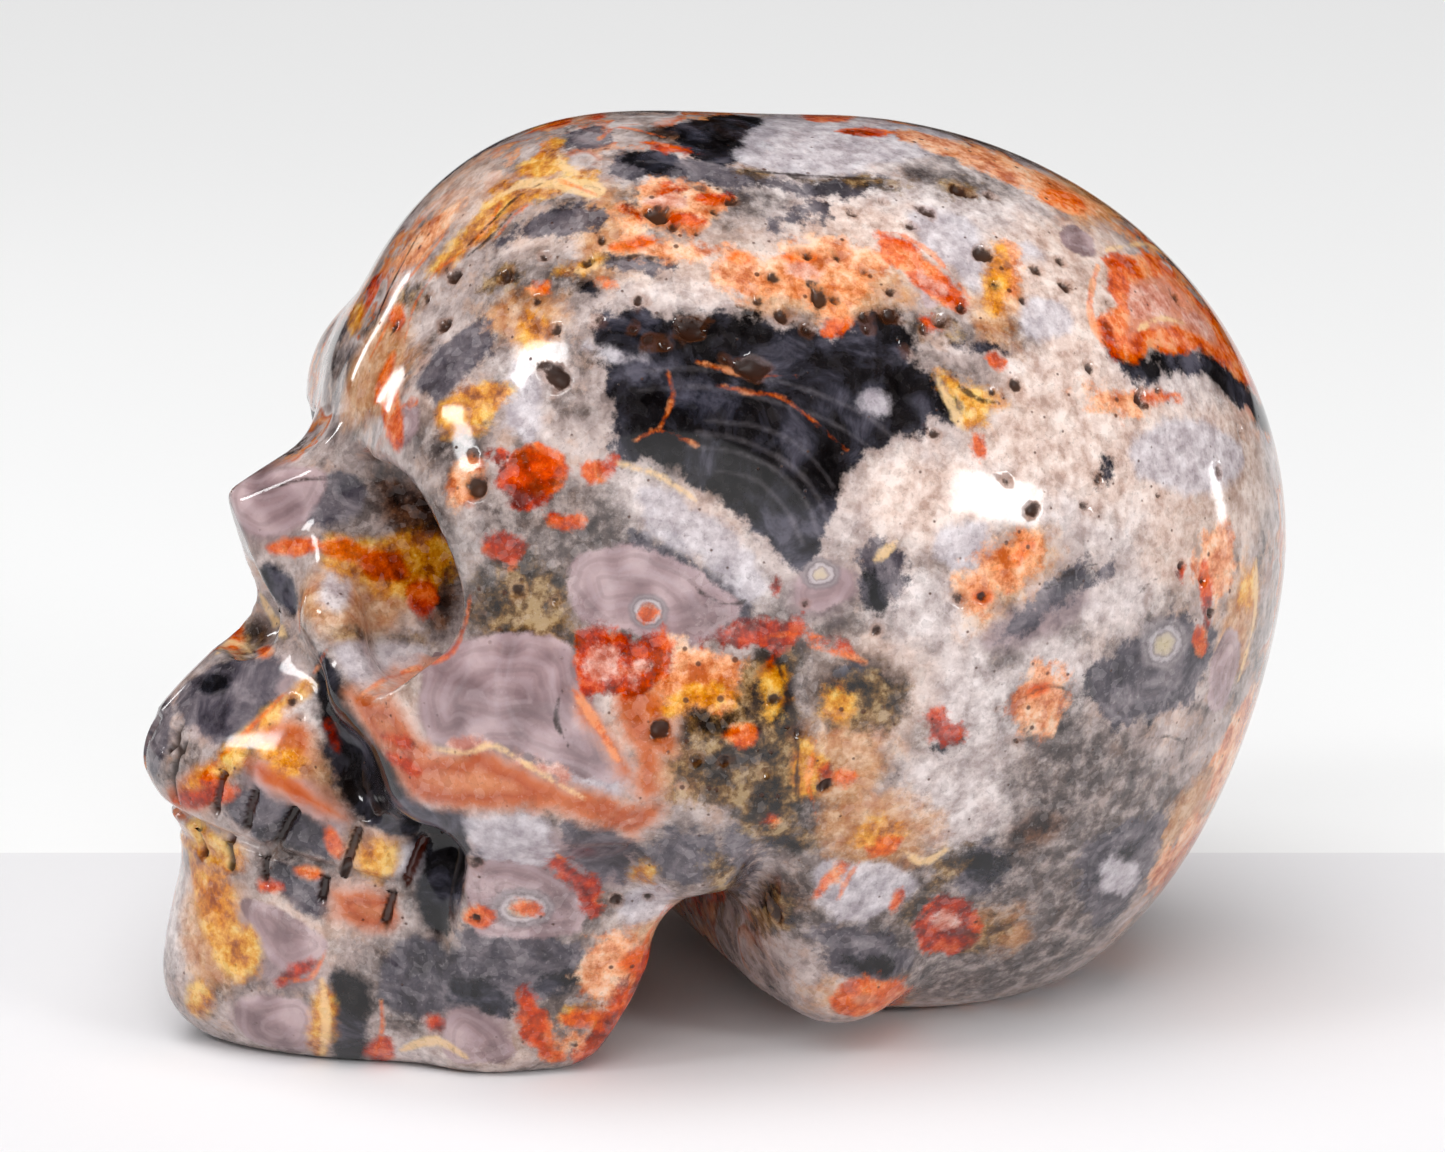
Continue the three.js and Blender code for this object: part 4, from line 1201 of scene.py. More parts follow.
class Marking:
    """An outline or a vein on the surface of the stone."""

    def __init__(self, shape, path, seen):
        self.closed, self.width = shape[0], shape[1] / PIXELS_PER_MM
        self.path = path
        self.seen = seen.mean() >= SEEN_SHARE
        self.centre = path.mean(0)
        self.reach = np.linalg.norm(path - self.centre, axis=1).max()

    def face(self, out):
        """Turns it to face the way that the surface faces there."""
        self.out = out / np.linalg.norm(out)
        level = np.array((0, 0, 1)) if abs(self.out[2]) < UPRIGHT else np.array((0, 1, 0))
        self.across = np.cross(level, self.out)
        self.across /= np.linalg.norm(self.across)
        self.along = np.cross(self.out, self.across)

    def flat(self, at):
        """How far points lie across it, along it and out from it."""
        off = at - self.centre
        return off @ self.across, off @ self.along, off @ self.out

    def inside(self, at):
        """Which points it reaches, and how far inside its edge they lie in millimetres."""
        if self.closed:
            return self.inside_outline(at)
        starts, ends = self.path[:-1], self.path[1:]
        nearest = np.full(len(at), np.inf)
        for number, (start, end) in enumerate(zip(starts, ends)):
            along = end - start
            t = np.clip((at - start) @ along / (along @ along + TINY), 0, 1)
            gap = np.sqrt(((at - start - t[:, None] * along) ** 2).sum(1))
            taper = math.sin(math.pi * (number + 0.5) / len(starts))
            nearest = np.minimum(nearest, gap - self.width * (VEIN_TIP + (1 - VEIN_TIP) * taper))
        return np.ones(len(at), bool), -nearest

    def inside_outline(self, at):
        """The same for an outline, measured in the plane that it faces out of."""
        x, y, depth = self.flat(at)
        corners_x, corners_y, _ = self.flat(self.path)
        nearest = np.full(len(at), np.inf)
        within = np.zeros(len(at), bool)
        count = len(corners_x)
        for i in range(count):
            ax, ay = corners_x[i], corners_y[i]
            bx, by = corners_x[(i + 1) % count], corners_y[(i + 1) % count]
            dx, dy = bx - ax, by - ay
            t = np.clip(((x - ax) * dx + (y - ay) * dy) / (dx * dx + dy * dy + TINY), 0, 1)
            nearest = np.minimum(nearest, (x - ax - t * dx) ** 2 + (y - ay - t * dy) ** 2)
            if ay != by:
                within ^= ((ay > y) != (by > y)) & (x < (bx - ax) * (y - ay) / (by - ay) + ax)
        shallow = np.abs(depth) < DEPTH_LEAST + DEPTH_SHARE * self.reach
        return shallow, np.where(within, 1, -1) * np.sqrt(nearest)


def lay(shapes, picture, turned):
    """Lays shapes given in the photograph's pixels on the form, all in one cast."""
    paths = [shape[2] if not turned else 2 * TURN_CENTRE - shape[2] for shape in shapes]
    met, seen = cast(np.concatenate(paths), picture)
    slopes = slope_at(met)
    markings = []
    start = 0
    for shape, path in zip(shapes, paths):
        part = slice(start, start + len(path))
        start += len(path)
        marking = Marking(shape, met[part].astype(np.float64), seen[part])
        marking.face(slopes[part].mean(0).astype(np.float64) + TINY)
        if marking.seen:
            markings.append(marking)
    return markings


def depth_inside(at, markings):
    """How far each point lies inside the nearest of the markings, in millimetres."""
    result = np.full(len(at), OUTSIDE, np.float32)
    for marking in markings:
        span = marking.reach + abs(OUTSIDE)
        near = np.flatnonzero(((at - marking.centre) ** 2).sum(1) < span * span)
        reached, depth = marking.inside(at[near])
        near, depth = near[reached], depth[reached]
        result[near] = np.maximum(result[near], depth)
    return result


def eye_radius(at, eyes):
    """How far each point is from the nearest eye's centre, where 1 is the eye's outer edge."""
    result = np.full(len(at), EYE_OUTSIDE, np.float32)
    for eye in eyes:
        quarter = len(eye.path) // 4
        sides = np.stack([eye.path[0] - eye.centre, eye.path[quarter] - eye.centre], 1)
        span = EYE_OUTSIDE * eye.reach
        near = np.flatnonzero(((at - eye.centre) ** 2).sum(1) < span * span)
        shares = (at[near] - eye.centre) @ np.linalg.pinv(sides).T
        result[near] = np.minimum(result[near], np.sqrt((shares**2).sum(1)))
    return result


PIT_DEPTH = 0.85
PIT_WAVE = 0.22
PIT_WAVE_TURNS = np.array((3.1, 2.3, 2.7))


def pit_shape(at, pits):
    """The depth of the pits at each point, and how far it lies inside a pit's edge."""
    depth = np.zeros(len(at), np.float32)
    inside = np.full(len(at), OUTSIDE, np.float32)
    turns = np.sin(at * PIT_WAVE_TURNS)
    wave = 1 + PIT_WAVE * (turns[:, 0] + turns[:, 1] * turns[:, 2])
    for centre, radius in pits:
        gap = np.sqrt(((at - centre) ** 2).sum(1)) * wave
        depth = np.maximum(depth, PIT_DEPTH * np.sqrt(np.maximum(radius * radius - gap * gap, 0)))
        inside = np.maximum(inside, radius - gap)
    return depth, inside


SURFACE_CLASSES = {
    "fair": FAIR_AND_TOP_LIGHT, "dim": DIM_AND_SHADE, "rosy": ROSY, "warm": WARM, "mauve": MAUVE, "umber": UMBER_AND_SOCKET_SHADE,
    "amber": AMBER, "slate": SLATE, "ink": INK_AND_RECESS_SHADE, "cloud": CLOUD_AND_SHEEN, "lilac": LILAC, "olive": OLIVE,
    "peach": PEACH, "honey": HONEY, "orange": ORANGE, "red": RED, "crystal": PINK_CRYSTAL,
    "cream": CREAM, "orange_vein": ORANGE_VEINS, "dark_vein": DARK_VEINS, "pale_line": PALE_LINES,
}
NEAR_PICTURE = photo_frame(CAMERA_AZIMUTH)
FAR_PICTURE = photo_frame(FAR_AZIMUTH)
PICTURES = ((NEAR_PICTURE, False), (FAR_PICTURE, True))

# Everything is laid twice: as photographed, and turned half round on the side that isn't seen
laid = {name: [] for name in SURFACE_CLASSES}
eyes = []
pits = []
pit_pixels = np.array(PITS, float)
for picture, turned in PICTURES:
    for name, shapes in SURFACE_CLASSES.items():
        laid[name] += lay(shapes, picture, turned)
    eyes += lay([spot(*eye) for eye in EYES], picture, turned)
    centres = pit_pixels[:, :2] if not turned else 2 * TURN_CENTRE - pit_pixels[:, :2]
    met, seen = cast(centres, picture)
    for at, radius, hit in zip(met, pit_pixels[:, 2] / PIXELS_PER_MM, seen):
        if hit:
            pits.append((at, radius))

# A saw cut near the front stays in one upright plane, and one close to the middle is on the midline
met, _ = cast(np.array(TOOTH_GAPS).reshape(-1, 2), NEAR_PICTURE)
shares = np.linspace(0, 1, GAP_STEPS)[:, None]
tooth_gaps = []
for start, end in met.reshape(-1, 2, 3):
    if min(start[0], end[0]) < FRONT_HALF_WIDTH:
        start[0] = end[0] = (start[0] + end[0]) / 2
    if start[0] == end[0] and start[0] < MIDDLE_HALF_WIDTH:
        start[0] = end[0] = 0
    path = settle((start * (1 - shares) + end * shares).astype(np.float32))
    for side in (1, -1):
        mirrored = path * (side, 1, 1)
        tooth_gaps += zip(mirrored[:-1], mirrored[1:])

# The fine mesh: how long its edges are in each region, and how far the regions reach
NEAR_EDGE = 0.72
PLAIN_EDGE = 1.4
FINE_EDGE = 0.32
TOOTH_EDGE = 0.34
NEAR_SIDE_X = 2
FACE_Y = -16
TOOTH_BAND = (-3.6, 5.4)
TOOTH_BAND_X = 19
FINE_MARGIN = 0.7
CELL = 0.5
fine_cells = np.zeros([int((high - low) / CELL) + 2 for low, high in zip(GRID_LOW, GRID_HIGH)], bool)


def cells_of(at):
    found = ((at - np.array(GRID_LOW)) / CELL).astype(int)
    return tuple(np.clip(found, 0, np.array(fine_cells.shape) - 1).T)


def mark_fine(path, margin):
    """Marks the cells within a margin of a path, so that the mesh is fine there."""
    steps = np.arange(-margin, margin + CELL / 2, CELL)
    for dx in steps:
        for dy in steps:
            for dz in steps:
                fine_cells[cells_of(path + (dx, dy, dz))] = True


def fill_in(path):
    """A path with points added, so that none are much further apart than a cell."""
    filled = [path[:1]]
    for start, end in zip(path[:-1], path[1:]):
        count = max(int(np.linalg.norm(end - start) / CELL), 1)
        filled.append(start + (end - start) * (np.arange(1, count + 1) / count)[:, None])
    return np.concatenate(filled)


for name in ("orange_vein", "dark_vein", "pale_line", "cream"):
    for marking in laid[name]:
        if not marking.closed and marking.centre[0] > 0:
            mark_fine(fill_in(marking.path), FINE_MARGIN)
for at, radius in pits:
    mark_fine(at[None], radius + FINE_MARGIN / 2)


def wanted_edge(at):
    """How long the mesh's edges may be at each point."""
    x, y, z = at.T
    length = np.where((x > NEAR_SIDE_X) | (y < FACE_Y), NEAR_EDGE, PLAIN_EDGE)
    rise = over_bite(y, z)
    teeth = (rise > TOOTH_BAND[0]) & (rise < TOOTH_BAND[1]) & (y < TEETH_END) & (np.abs(x) < TOOTH_BAND_X)
    length = np.where(teeth, TOOTH_EDGE, length)
    return np.where(fine_cells[cells_of(at)], FINE_EDGE, length)


points, triangles = mesh_form()
points, triangles = refine(points, triangles, wanted_edge)
normals = slope_at(points)
normals /= np.maximum(np.linalg.norm(normals, axis=1), TINY)[:, None]
gap = gap_profile(points, tooth_gaps)
pit_deep, pit_inside = pit_shape(points, pits)
readings = {name: depth_inside(points, markings) for name, markings in laid.items()}
readings["eye"] = eye_radius(points, eyes)
readings["pit"] = pit_inside
readings["gap"] = gap

# Markings have calmer edges on the face, and lace is where neither picture sees the stone well
FACE_CALM = 0.5
CALM_BEHIND = 31
CALM_FADE = 9
LACE_FROM = 0.2
LACE_FADE = 0.3
view = math.radians(CAMERA_AZIMUTH)
squareness = np.abs(normals @ np.array((math.sin(view), -math.cos(view), 0)))
readings["calm"] = FACE_CALM + (1 - FACE_CALM) * smooth((points[:, 1] + CALM_BEHIND) / CALM_FADE)
readings["wild"] = 1 - smooth((squareness - LACE_FROM) / LACE_FADE)

# Pits and saw cuts are cut into the stone, and its foot is flat
points = points - normals * np.maximum(gap * GAP_DEPTH, pit_deep)[:, None]
points[:, 2] = np.maximum(points[:, 2], 0)

# Into the CAD solid's box, in metres
CLEARANCE = 0.00001
low, high = points.min(0), points.max(0)
cad_low, cad_high = np.array(CAD_LOW), np.array(CAD_HIGH)
points = (points - low) / (high - low) * (cad_high - cad_low - 2 * CLEARANCE) + cad_low + CLEARANCE
points[:, 2] -= CLEARANCE

mesh = bpy.data.meshes.new("skull_stone")
mesh.vertices.add(len(points))
mesh.vertices.foreach_set("co", points.astype(np.float32).ravel())
mesh.loops.add(triangles.size)
mesh.loops.foreach_set("vertex_index", triangles.astype(np.int32).ravel())
mesh.polygons.add(len(triangles))
mesh.polygons.foreach_set("loop_start", np.arange(0, triangles.size, 3, dtype=np.int32))
mesh.update(calc_edges=True)
mesh.validate()
mesh.polygons.foreach_set("use_smooth", np.ones(len(mesh.polygons), bool))
for name, values in readings.items():
    mesh.attributes.new(name, "FLOAT", "POINT").data.foreach_set("value", values.astype(np.float32))
stone = bpy.data.objects.new("skull_stone", mesh)
bpy.context.scene.collection.objects.link(stone)
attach(stone, "root")
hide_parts("skull")


# Shader
class Reading:
    """A value that varies over a surface. Arithmetic on it adds Math nodes."""

    def __init__(self, shader, socket):
        self.shader = shader
        self.socket = socket

    def __add__(self, other):
        return self.shader.maths("ADD", self, other)

    def __radd__(self, other):
        return self.shader.maths("ADD", other, self)

    def __sub__(self, other):
        return self.shader.maths("SUBTRACT", self, other)

    def __rsub__(self, other):
        return self.shader.maths("SUBTRACT", other, self)

    def __mul__(self, other):
        return self.shader.maths("MULTIPLY", self, other)

    def __rmul__(self, other):
        return self.shader.maths("MULTIPLY", other, self)


# The Mix node's colour sockets go by number, because several of its sockets share a name
MIX_SHARE, MIX_FIRST, MIX_SECOND, MIX_RESULT = 0, 6, 7, 2


class Shader:
    """A material, and the means to add nodes to it."""

    def __init__(self, name):
        self.material = bpy.data.materials.new(name)
        self.material.use_nodes = True
        self.tree = self.material.node_tree
        self.tree.nodes.clear()

    def node(self, kind, settings, sockets, result=0):
        """Adds a node with its settings, then its sockets' values or links, and gives one output."""
        node = self.tree.nodes.new(kind)
        for setting, value in settings.items():
            if setting == "stops":
                self.set_stops(node.color_ramp.elements, value)
            else:
                setattr(node, setting, value)
        for socket, value in sockets.items():
            if isinstance(value, Reading):
                self.tree.links.new(value.socket, node.inputs[socket])
            else:
                node.inputs[socket].default_value = value
        return Reading(self, node.outputs[result]) if node.outputs else node

    def set_stops(self, elements, stops):
        while len(elements) < len(stops):
            elements.new(1)
        for element, (at, colour) in zip(elements, stops):
            element.position = at
            element.color = colour

    def maths(self, operation, first, second):
        return self.node("ShaderNodeMath", {"operation": operation}, {0: first, 1: second})

    def attribute(self, name):
        return self.node("ShaderNodeAttribute", {"attribute_name": name}, {}, "Fac")

    def noise(self, place, scale, detail, roughness, result="Fac"):
        sockets = {"Vector": place, "Scale": scale, "Detail": detail, "Roughness": roughness}
        return self.node("ShaderNodeTexNoise", {}, sockets, result)

    def rise(self, value, start, end):
        """From 0 to 1, smoothly, as a value goes from start to end."""
        sockets = {"Value": value, "From Min": start, "From Max": end}
        return self.node("ShaderNodeMapRange", {"interpolation_type": "SMOOTHSTEP"}, sockets)

    def ramp(self, value, *stops):
        return self.node("ShaderNodeValToRGB", {"stops": stops}, {"Fac": value}, "Color")

    def mix(self, share, first, second):
        sockets = {MIX_SHARE: share, MIX_FIRST: first, MIX_SECOND: second}
        return self.node("ShaderNodeMix", {"data_type": "RGBA"}, sockets, MIX_RESULT)


def tint(red, green, blue):
    """A colour as read on a screen, from 0 to 255, turned into light by the screens' own curve."""
    light = [((part / 255 + 0.055) / 1.055) ** 2.4 for part in (red, green, blue)]
    return (*light, 1.0)


# The agate's noises. A noise is given its scale, detail and roughness, and its place is in
# millimetres. The ragged ones make the edges of the finishes uneven.
SWIRL_REACH = 9.0
RAGGED_GAIN = 7
agate = Shader("agate")
object_place = agate.node("ShaderNodeTexCoord", {}, {}, "Object")
place = agate.node("ShaderNodeVectorMath", {"operation": "SCALE"}, {"Vector": object_place, "Scale": 1 / MM})
swirl = agate.noise(place, 0.11, 2, 0.5, "Color")
swirl_sockets = {"Vector": swirl, "Scale": SWIRL_REACH}
swirl_move = agate.node("ShaderNodeVectorMath", {"operation": "SCALE"}, swirl_sockets)
swirled = agate.node("ShaderNodeVectorMath", {"operation": "ADD"}, {0: place, 1: swirl_move})
broad = agate.noise(swirled, 0.085, 3, 0.55)
clouds = agate.noise(swirled, 0.24, 5, 0.62)
mottle = agate.noise(place, 0.62, 5, 0.66)
grain = agate.noise(place, 2.4, 3, 0.7)
ragged_colour = agate.noise(place, 0.42, 6, 0.68, "Color")
ragged_parts = agate.node("ShaderNodeSeparateColor", {}, {"Color": ragged_colour})
ragged = [Reading(agate, ragged_parts.socket.node.outputs[part]) for part in range(3)]
ripple = agate.noise(place, 0.3, 1, 0.5)
calm = agate.attribute("calm")


def tones(value, *stops):
    """Colours along a value. A stop is its place, then its red, green and blue on a screen."""
    return agate.ramp(value, *((at, tint(*parts)) for at, *parts in stops))


def lay_finishes(under, finishes):
    """Lays finishes over a colour in their order, each inside its own markings.

    A finish is its markings' name, how soft and how uneven its edge is in millimetres, which
    ragged noise makes it uneven, how much of it shows, and its colour.
    """
    for name, soft, uneven, which, share, over in finishes:
        inside = agate.attribute(name) + (ragged[which] - 0.5) * calm * (uneven * RAGGED_GAIN)
        under = agate.mix(agate.rise(inside, -soft, soft) * share, under, over)
    return under


def lay_grains(under, grains):
    """Lays tints over a colour. Each follows a value from its start to its end, up to its share."""
    for value, start, end, share, over in grains:
        under = agate.mix(agate.rise(value, start, end) * share, under, tint(*over))
    return under


# The grey and white stone between the markings
matrix = tones(
    clouds, (0.30, 88, 80, 78), (0.40, 132, 120, 116), (0.48, 168, 154, 150), (0.56, 192, 178, 174),
    (0.68, 226, 214, 210),
)
matrix = lay_grains(matrix, (
    (mottle, 0.46, 0.66, 0.5, (212, 200, 196)),
    (ragged[0], 0.5, 0.64, 0.45, (208, 178, 160)),
    (ragged[1], 0.56, 0.68, 0.5, (112, 100, 98)),
))

# Bands, patches and lace where neither picture sees the stone well
LACE_SHARE = 0.85
lace = tones(
    broad, (0.30, 70, 66, 72), (0.38, 150, 138, 138), (0.43, 228, 220, 218), (0.455, 214, 116, 66),
    (0.50, 236, 176, 130), (0.535, 190, 110, 62), (0.55, 168, 150, 150), (0.62, 206, 196, 196),
    (0.70, 84, 78, 84),
)
lace_cover = agate.attribute("wild") * agate.rise(ragged[2], 0.44, 0.54) * LACE_SHARE
colour = agate.mix(lace_cover, matrix, lace)

# Lilac stone has fine bands that follow its outline
LILAC_SWAY = 2.6
LILAC_BANDING = 4.1
lilac_deep = agate.attribute("lilac") + (ripple - 0.5) * LILAC_SWAY
lilac_bands = agate.node("ShaderNodeMath", {"operation": "SINE"}, {0: lilac_deep * LILAC_BANDING})
lilac = lay_grains(
    tones(ripple, (0.34, 148, 128, 130), (0.5, 176, 155, 157), (0.62, 202, 183, 184)),
    ((lilac_bands, 0.2, 1.0, 0.22, (206, 190, 194)), (lilac_bands, -0.5, -1.0, 0.16, (100, 82, 86))),
)

# Soft changes of tone, then finishes with an edge of their own
colour = lay_finishes(colour, (
    # pale stone, and painted light on the crown and upper right
    ("fair", 2.0, 0.9, 0, 0.85,
     tones(mottle, (0.34, 182, 169, 167), (0.46, 212, 201, 199), (0.62, 240, 232, 230))),
    # dark grey stone, and painted shade on the underside of the head and jaw
    ("dim", 1.8, 0.9, 1, 0.8,
     tones(mottle, (0.34, 52, 47, 48), (0.48, 104, 95, 93), (0.64, 176, 164, 160))),
    ("rosy", 2.2, 0.9, 2, 0.68,
     tones(mottle, (0.36, 204, 176, 162), (0.5, 228, 206, 194), (0.64, 244, 229, 220))),
    ("warm", 1.4, 0.9, 0, 0.7,
     tones(mottle, (0.36, 196, 132, 84), (0.5, 214, 164, 118), (0.64, 232, 196, 160))),
    ("mauve", 1.0, 0.4, 1, 0.85, tones(clouds, (0.38, 128, 112, 116), (0.6, 172, 154, 156))),
    # dark brown stone, and painted shade inside the eye sockets
    ("umber", 1.2, 0.5, 2, 0.95,
     tones(mottle, (0.36, 34, 22, 17), (0.5, 70, 46, 34), (0.66, 128, 92, 68))),
    ("slate", 0.45, 0.9, 1, 0.92,
     tones(clouds, (0.36, 62, 59, 67), (0.46, 92, 88, 97), (0.56, 124, 118, 124), (0.68, 160, 152, 156))),
    # black stone, and painted shade in the hollow under the cheekbone
    ("ink", 0.45, 0.8, 0, 0.97,
     tones(clouds, (0.36, 20, 18, 20), (0.46, 34, 33, 37), (0.54, 58, 58, 67), (0.66, 104, 102, 113))),
    ("olive", 0.9, 1.2, 2, 0.8,
     tones(ragged[1], (0.40, 44, 38, 30), (0.47, 98, 78, 54), (0.53, 150, 120, 82), (0.60, 196, 172, 136))),
    # lilac-white stone, and painted sheen on the top of the crown
    ("cloud", 0.5, 0.4, 1, 0.85,
     tones(mottle, (0.36, 180, 172, 177), (0.5, 206, 199, 203), (0.66, 230, 225, 228))),
    ("lilac", 0.25, 0.35, 2, 0.93, lilac),
))

# Eyes: rings from the middle, where their reading is 0, to the outer edge, where it is 1
EYE_WAVER = 0.7
EYE_SHARE = 0.8
eye = agate.attribute("eye") + (ragged[1] - 0.5) * EYE_WAVER
rings = tones(
    eye, (0.0, 222, 208, 176), (0.34, 212, 200, 184), (0.44, 176, 166, 164), (0.52, 206, 199, 200),
    (0.60, 196, 188, 190), (0.70, 146, 138, 140), (0.82, 164, 156, 158), (0.95, 140, 132, 135),
)
colour = agate.mix(agate.rise(1 - eye, -0.1, 0.2) * EYE_SHARE, colour, rings)

# Amber stone changes from its edge inwards, and large orange patches have a pale heart
AMBER_SWAY = 3
ORANGE_SWAY = 4
amber_deep = agate.attribute("amber") + (ripple - 0.5) * AMBER_SWAY
amber = tones(
    agate.rise(amber_deep, -0.8, 2.6), (0.0, 222, 176, 156), (0.3, 208, 128, 86), (0.6, 190, 100, 56),
    (1.0, 216, 146, 104),
)
orange_deep = agate.attribute("orange") + (ripple - 0.5) * ORANGE_SWAY
orange = lay_grains(
    tones(ragged[1], (0.38, 182, 70, 28), (0.46, 222, 106, 54), (0.54, 240, 140, 86), (0.62, 250, 184, 140)),
    ((orange_deep, 1.7, 2.8, 0.75, (222, 168, 146)),),
)

# Warm finishes, then the veins and fine lines
colour = lay_finishes(colour, (
    ("peach", 0.6, 0.9, 0, 0.82,
     tones(ragged[2], (0.38, 196, 110, 66), (0.46, 228, 158, 116), (0.53, 248, 192, 154),
           (0.62, 252, 220, 194))),
    ("amber", 0.9, 0.5, 2, 0.85, amber),
    ("honey", 0.6, 0.7, 1, 0.78,
     tones(ragged[0], (0.38, 156, 92, 46), (0.46, 212, 144, 68), (0.54, 238, 184, 96),
           (0.62, 248, 216, 146))),
    ("orange", 0.35, 0.4, 2, 0.8, orange),
    ("red", 0.4, 0.6, 1, 0.8,
     tones(ragged[0], (0.38, 116, 30, 16), (0.47, 170, 54, 28), (0.54, 208, 80, 44), (0.62, 230, 124, 84))),
    ("crystal", 0.4, 0.6, 2, 0.8,
     tones(mottle, (0.38, 196, 132, 116), (0.5, 222, 176, 162), (0.62, 240, 212, 202))),
    ("cream", 0.22, 0.22, 0, 0.8, tint(240, 212, 172)),
    ("orange_vein", 0.18, 0.2, 1, 0.6, orange),
    ("dark_vein", 0.14, 0.14, 2, 0.8, tint(58, 46, 42)),
    ("pale_line", 0.3, 0.1, 0, 0.2, tint(206, 198, 202)),
))

# Fine speckle, of which mauve stone, and black stone with its painted shade, have little
cells = agate.node("ShaderNodeTexVoronoi", {}, {"Vector": place, "Scale": 1.5}, "Color")
cell_tone = agate.node("ShaderNodeSeparateColor", {}, {"Color": cells})
grainy = 1 - agate.rise(agate.attribute("mauve"), -1.0, 0.5) * 0.7
off_ink_and_shade = grainy * (1 - agate.rise(agate.attribute("ink"), -0.6, 0.4) * 0.85)
colour = lay_grains(colour, (
    (cell_tone, 0.55, 1.0, off_ink_and_shade * 0.12, (236, 230, 230)),
    (1 - cell_tone, 0.6, 1.0, off_ink_and_shade * 0.12, (70, 60, 58)),
    (grain, 0.56, 0.72, off_ink_and_shade * 0.14, (240, 234, 232)),
    (1 - grain, 0.55, 0.7, grainy * 0.2, (58, 48, 46)),
))

# Pinholes, which are wider in peach and olive stone
PINHOLE_SIZE = 0.07
POROUS_GAIN = 0.06
PINHOLE_SHARE = 0.75
cell_middles = agate.node("ShaderNodeTexVoronoi", {}, {"Vector": place, "Scale": 0.62}, "Distance")
on_peach = agate.rise(agate.attribute("peach"), -1.0, 0.5)
on_olive = agate.rise(agate.attribute("olive"), -1.0, 0.5)
pinhole_size = PINHOLE_SIZE + (on_peach + on_olive) * POROUS_GAIN
pinhole = agate.rise(pinhole_size - cell_middles, -0.03, 0.05) * grainy
colour = agate.mix(pinhole * PINHOLE_SHARE, colour, tint(92, 54, 34))

# The stained rims and dark floors of the pits, and the saw cuts painted dark brown
PIT_WAVER = 2.0
GAP_SHARE = 0.85
pit = agate.attribute("pit") + (ragged[2] - 0.5) * PIT_WAVER
colour = lay_grains(colour, (
    (pit, -0.45, 0.0, 0.25, (150, 96, 60)),
    (pit, -0.08, 0.25, 0.9, (66, 40, 26)),
))
saw_cut_brown = agate.mix(agate.rise(broad, 0.45, 0.55), tint(64, 48, 42), tint(92, 36, 14))
colour = agate.mix(agate.rise(agate.attribute("gap"), 0.3, 0.95) * GAP_SHARE, colour, saw_cut_brown)

# The whole colour is deepened, and made a little richer
DEPTH_OF_TONE = 1.3
RICHNESS = 1.06
colour = agate.node("ShaderNodeGamma", {}, {"Color": colour, "Gamma": DEPTH_OF_TONE})
colour = agate.node("ShaderNodeHueSaturation", {}, {"Color": colour, "Saturation": RICHNESS})

# A high polish with dull pinholes and pits, and light that goes a millimetre into the stone
POLISH = 0.09
DULLNESS = 0.4
DENT_STRENGTH = 0.5
DENT_DEPTH = 0.0003
REFRACTION = 1.5
GLOW_SHARE = 0.12
GLOW_COLOUR = (1.0, 0.7, 0.55)
GLOW_DEPTH = 0.0012
dents = {"Strength": DENT_STRENGTH, "Distance": DENT_DEPTH, "Height": 1 - pinhole}
surface = agate.node("ShaderNodeBsdfPrincipled", {}, {
    "Base Color": colour,
    "Roughness": POLISH + pinhole * DULLNESS + agate.rise(pit, 0.0, 0.3) * DULLNESS,
    "Normal": agate.node("ShaderNodeBump", {}, dents, "Normal"),
    "IOR": REFRACTION,
    "Subsurface Weight": GLOW_SHARE,
    "Subsurface Radius": GLOW_COLOUR,
    "Subsurface Scale": GLOW_DEPTH,
})
agate.node("ShaderNodeOutputMaterial", {}, {"Surface": surface})
mesh.materials.append(agate.material)

# Camera. It moves with the stone, which its fit into the CAD solid's box shifts a little.
FIT_SHIFT = Vector((0, 0.00014, 0))
camera_data = bpy.data.cameras.new("camera")
camera_data.lens = LENS
camera_data.sensor_width = SENSOR
camera = bpy.data.objects.new("camera", camera_data)
camera.location = Vector(NEAR_PICTURE[0]) * MM + FIT_SHIFT
camera.rotation_mode = "QUATERNION"
camera.rotation_quaternion = (-Vector(NEAR_PICTURE[3])).to_track_quat("-Z", "Y")
bpy.context.scene.collection.objects.link(camera)
bpy.context.scene.camera = camera
bpy.context.scene.view_settings.view_transform = "Standard"

# Studio lights, in metres. The softboxes are far off, and the polish doesn't show them.
STAND_CENTRE = Vector((0, 0, 0.035))
WINDOW_DISTANCE = 0.6
SOFTBOX_DISTANCE = 20.0


def window(name, azimuth, elevation, wide, tall, brightness, distance=WINDOW_DISTANCE, roll=0.0):
    """A soft light in a direction seen from the skull, given its size in degrees across."""
    level = math.cos(math.radians(elevation))
    out = Vector((
        math.sin(math.radians(azimuth)) * level,
        -math.cos(math.radians(azimuth)) * level,
        math.sin(math.radians(elevation)),
    ))
    light = bpy.data.lights.new(name, "AREA")
    light.shape = "RECTANGLE"
    light.size = 2 * distance * math.tan(math.radians(wide / 2))
    light.size_y = 2 * distance * math.tan(math.radians(tall / 2))
    light.energy = brightness * math.pi * light.size * light.size_y
    lamp = bpy.data.objects.new(name, light)
    lamp.location = STAND_CENTRE + out * distance
    lamp.rotation_mode = "QUATERNION"
    turned = Quaternion((0, 0, 1), math.radians(roll))
    lamp.rotation_quaternion = (-out).to_track_quat("-Z", "Y") @ turned
    bpy.context.scene.collection.objects.link(lamp)
    return lamp


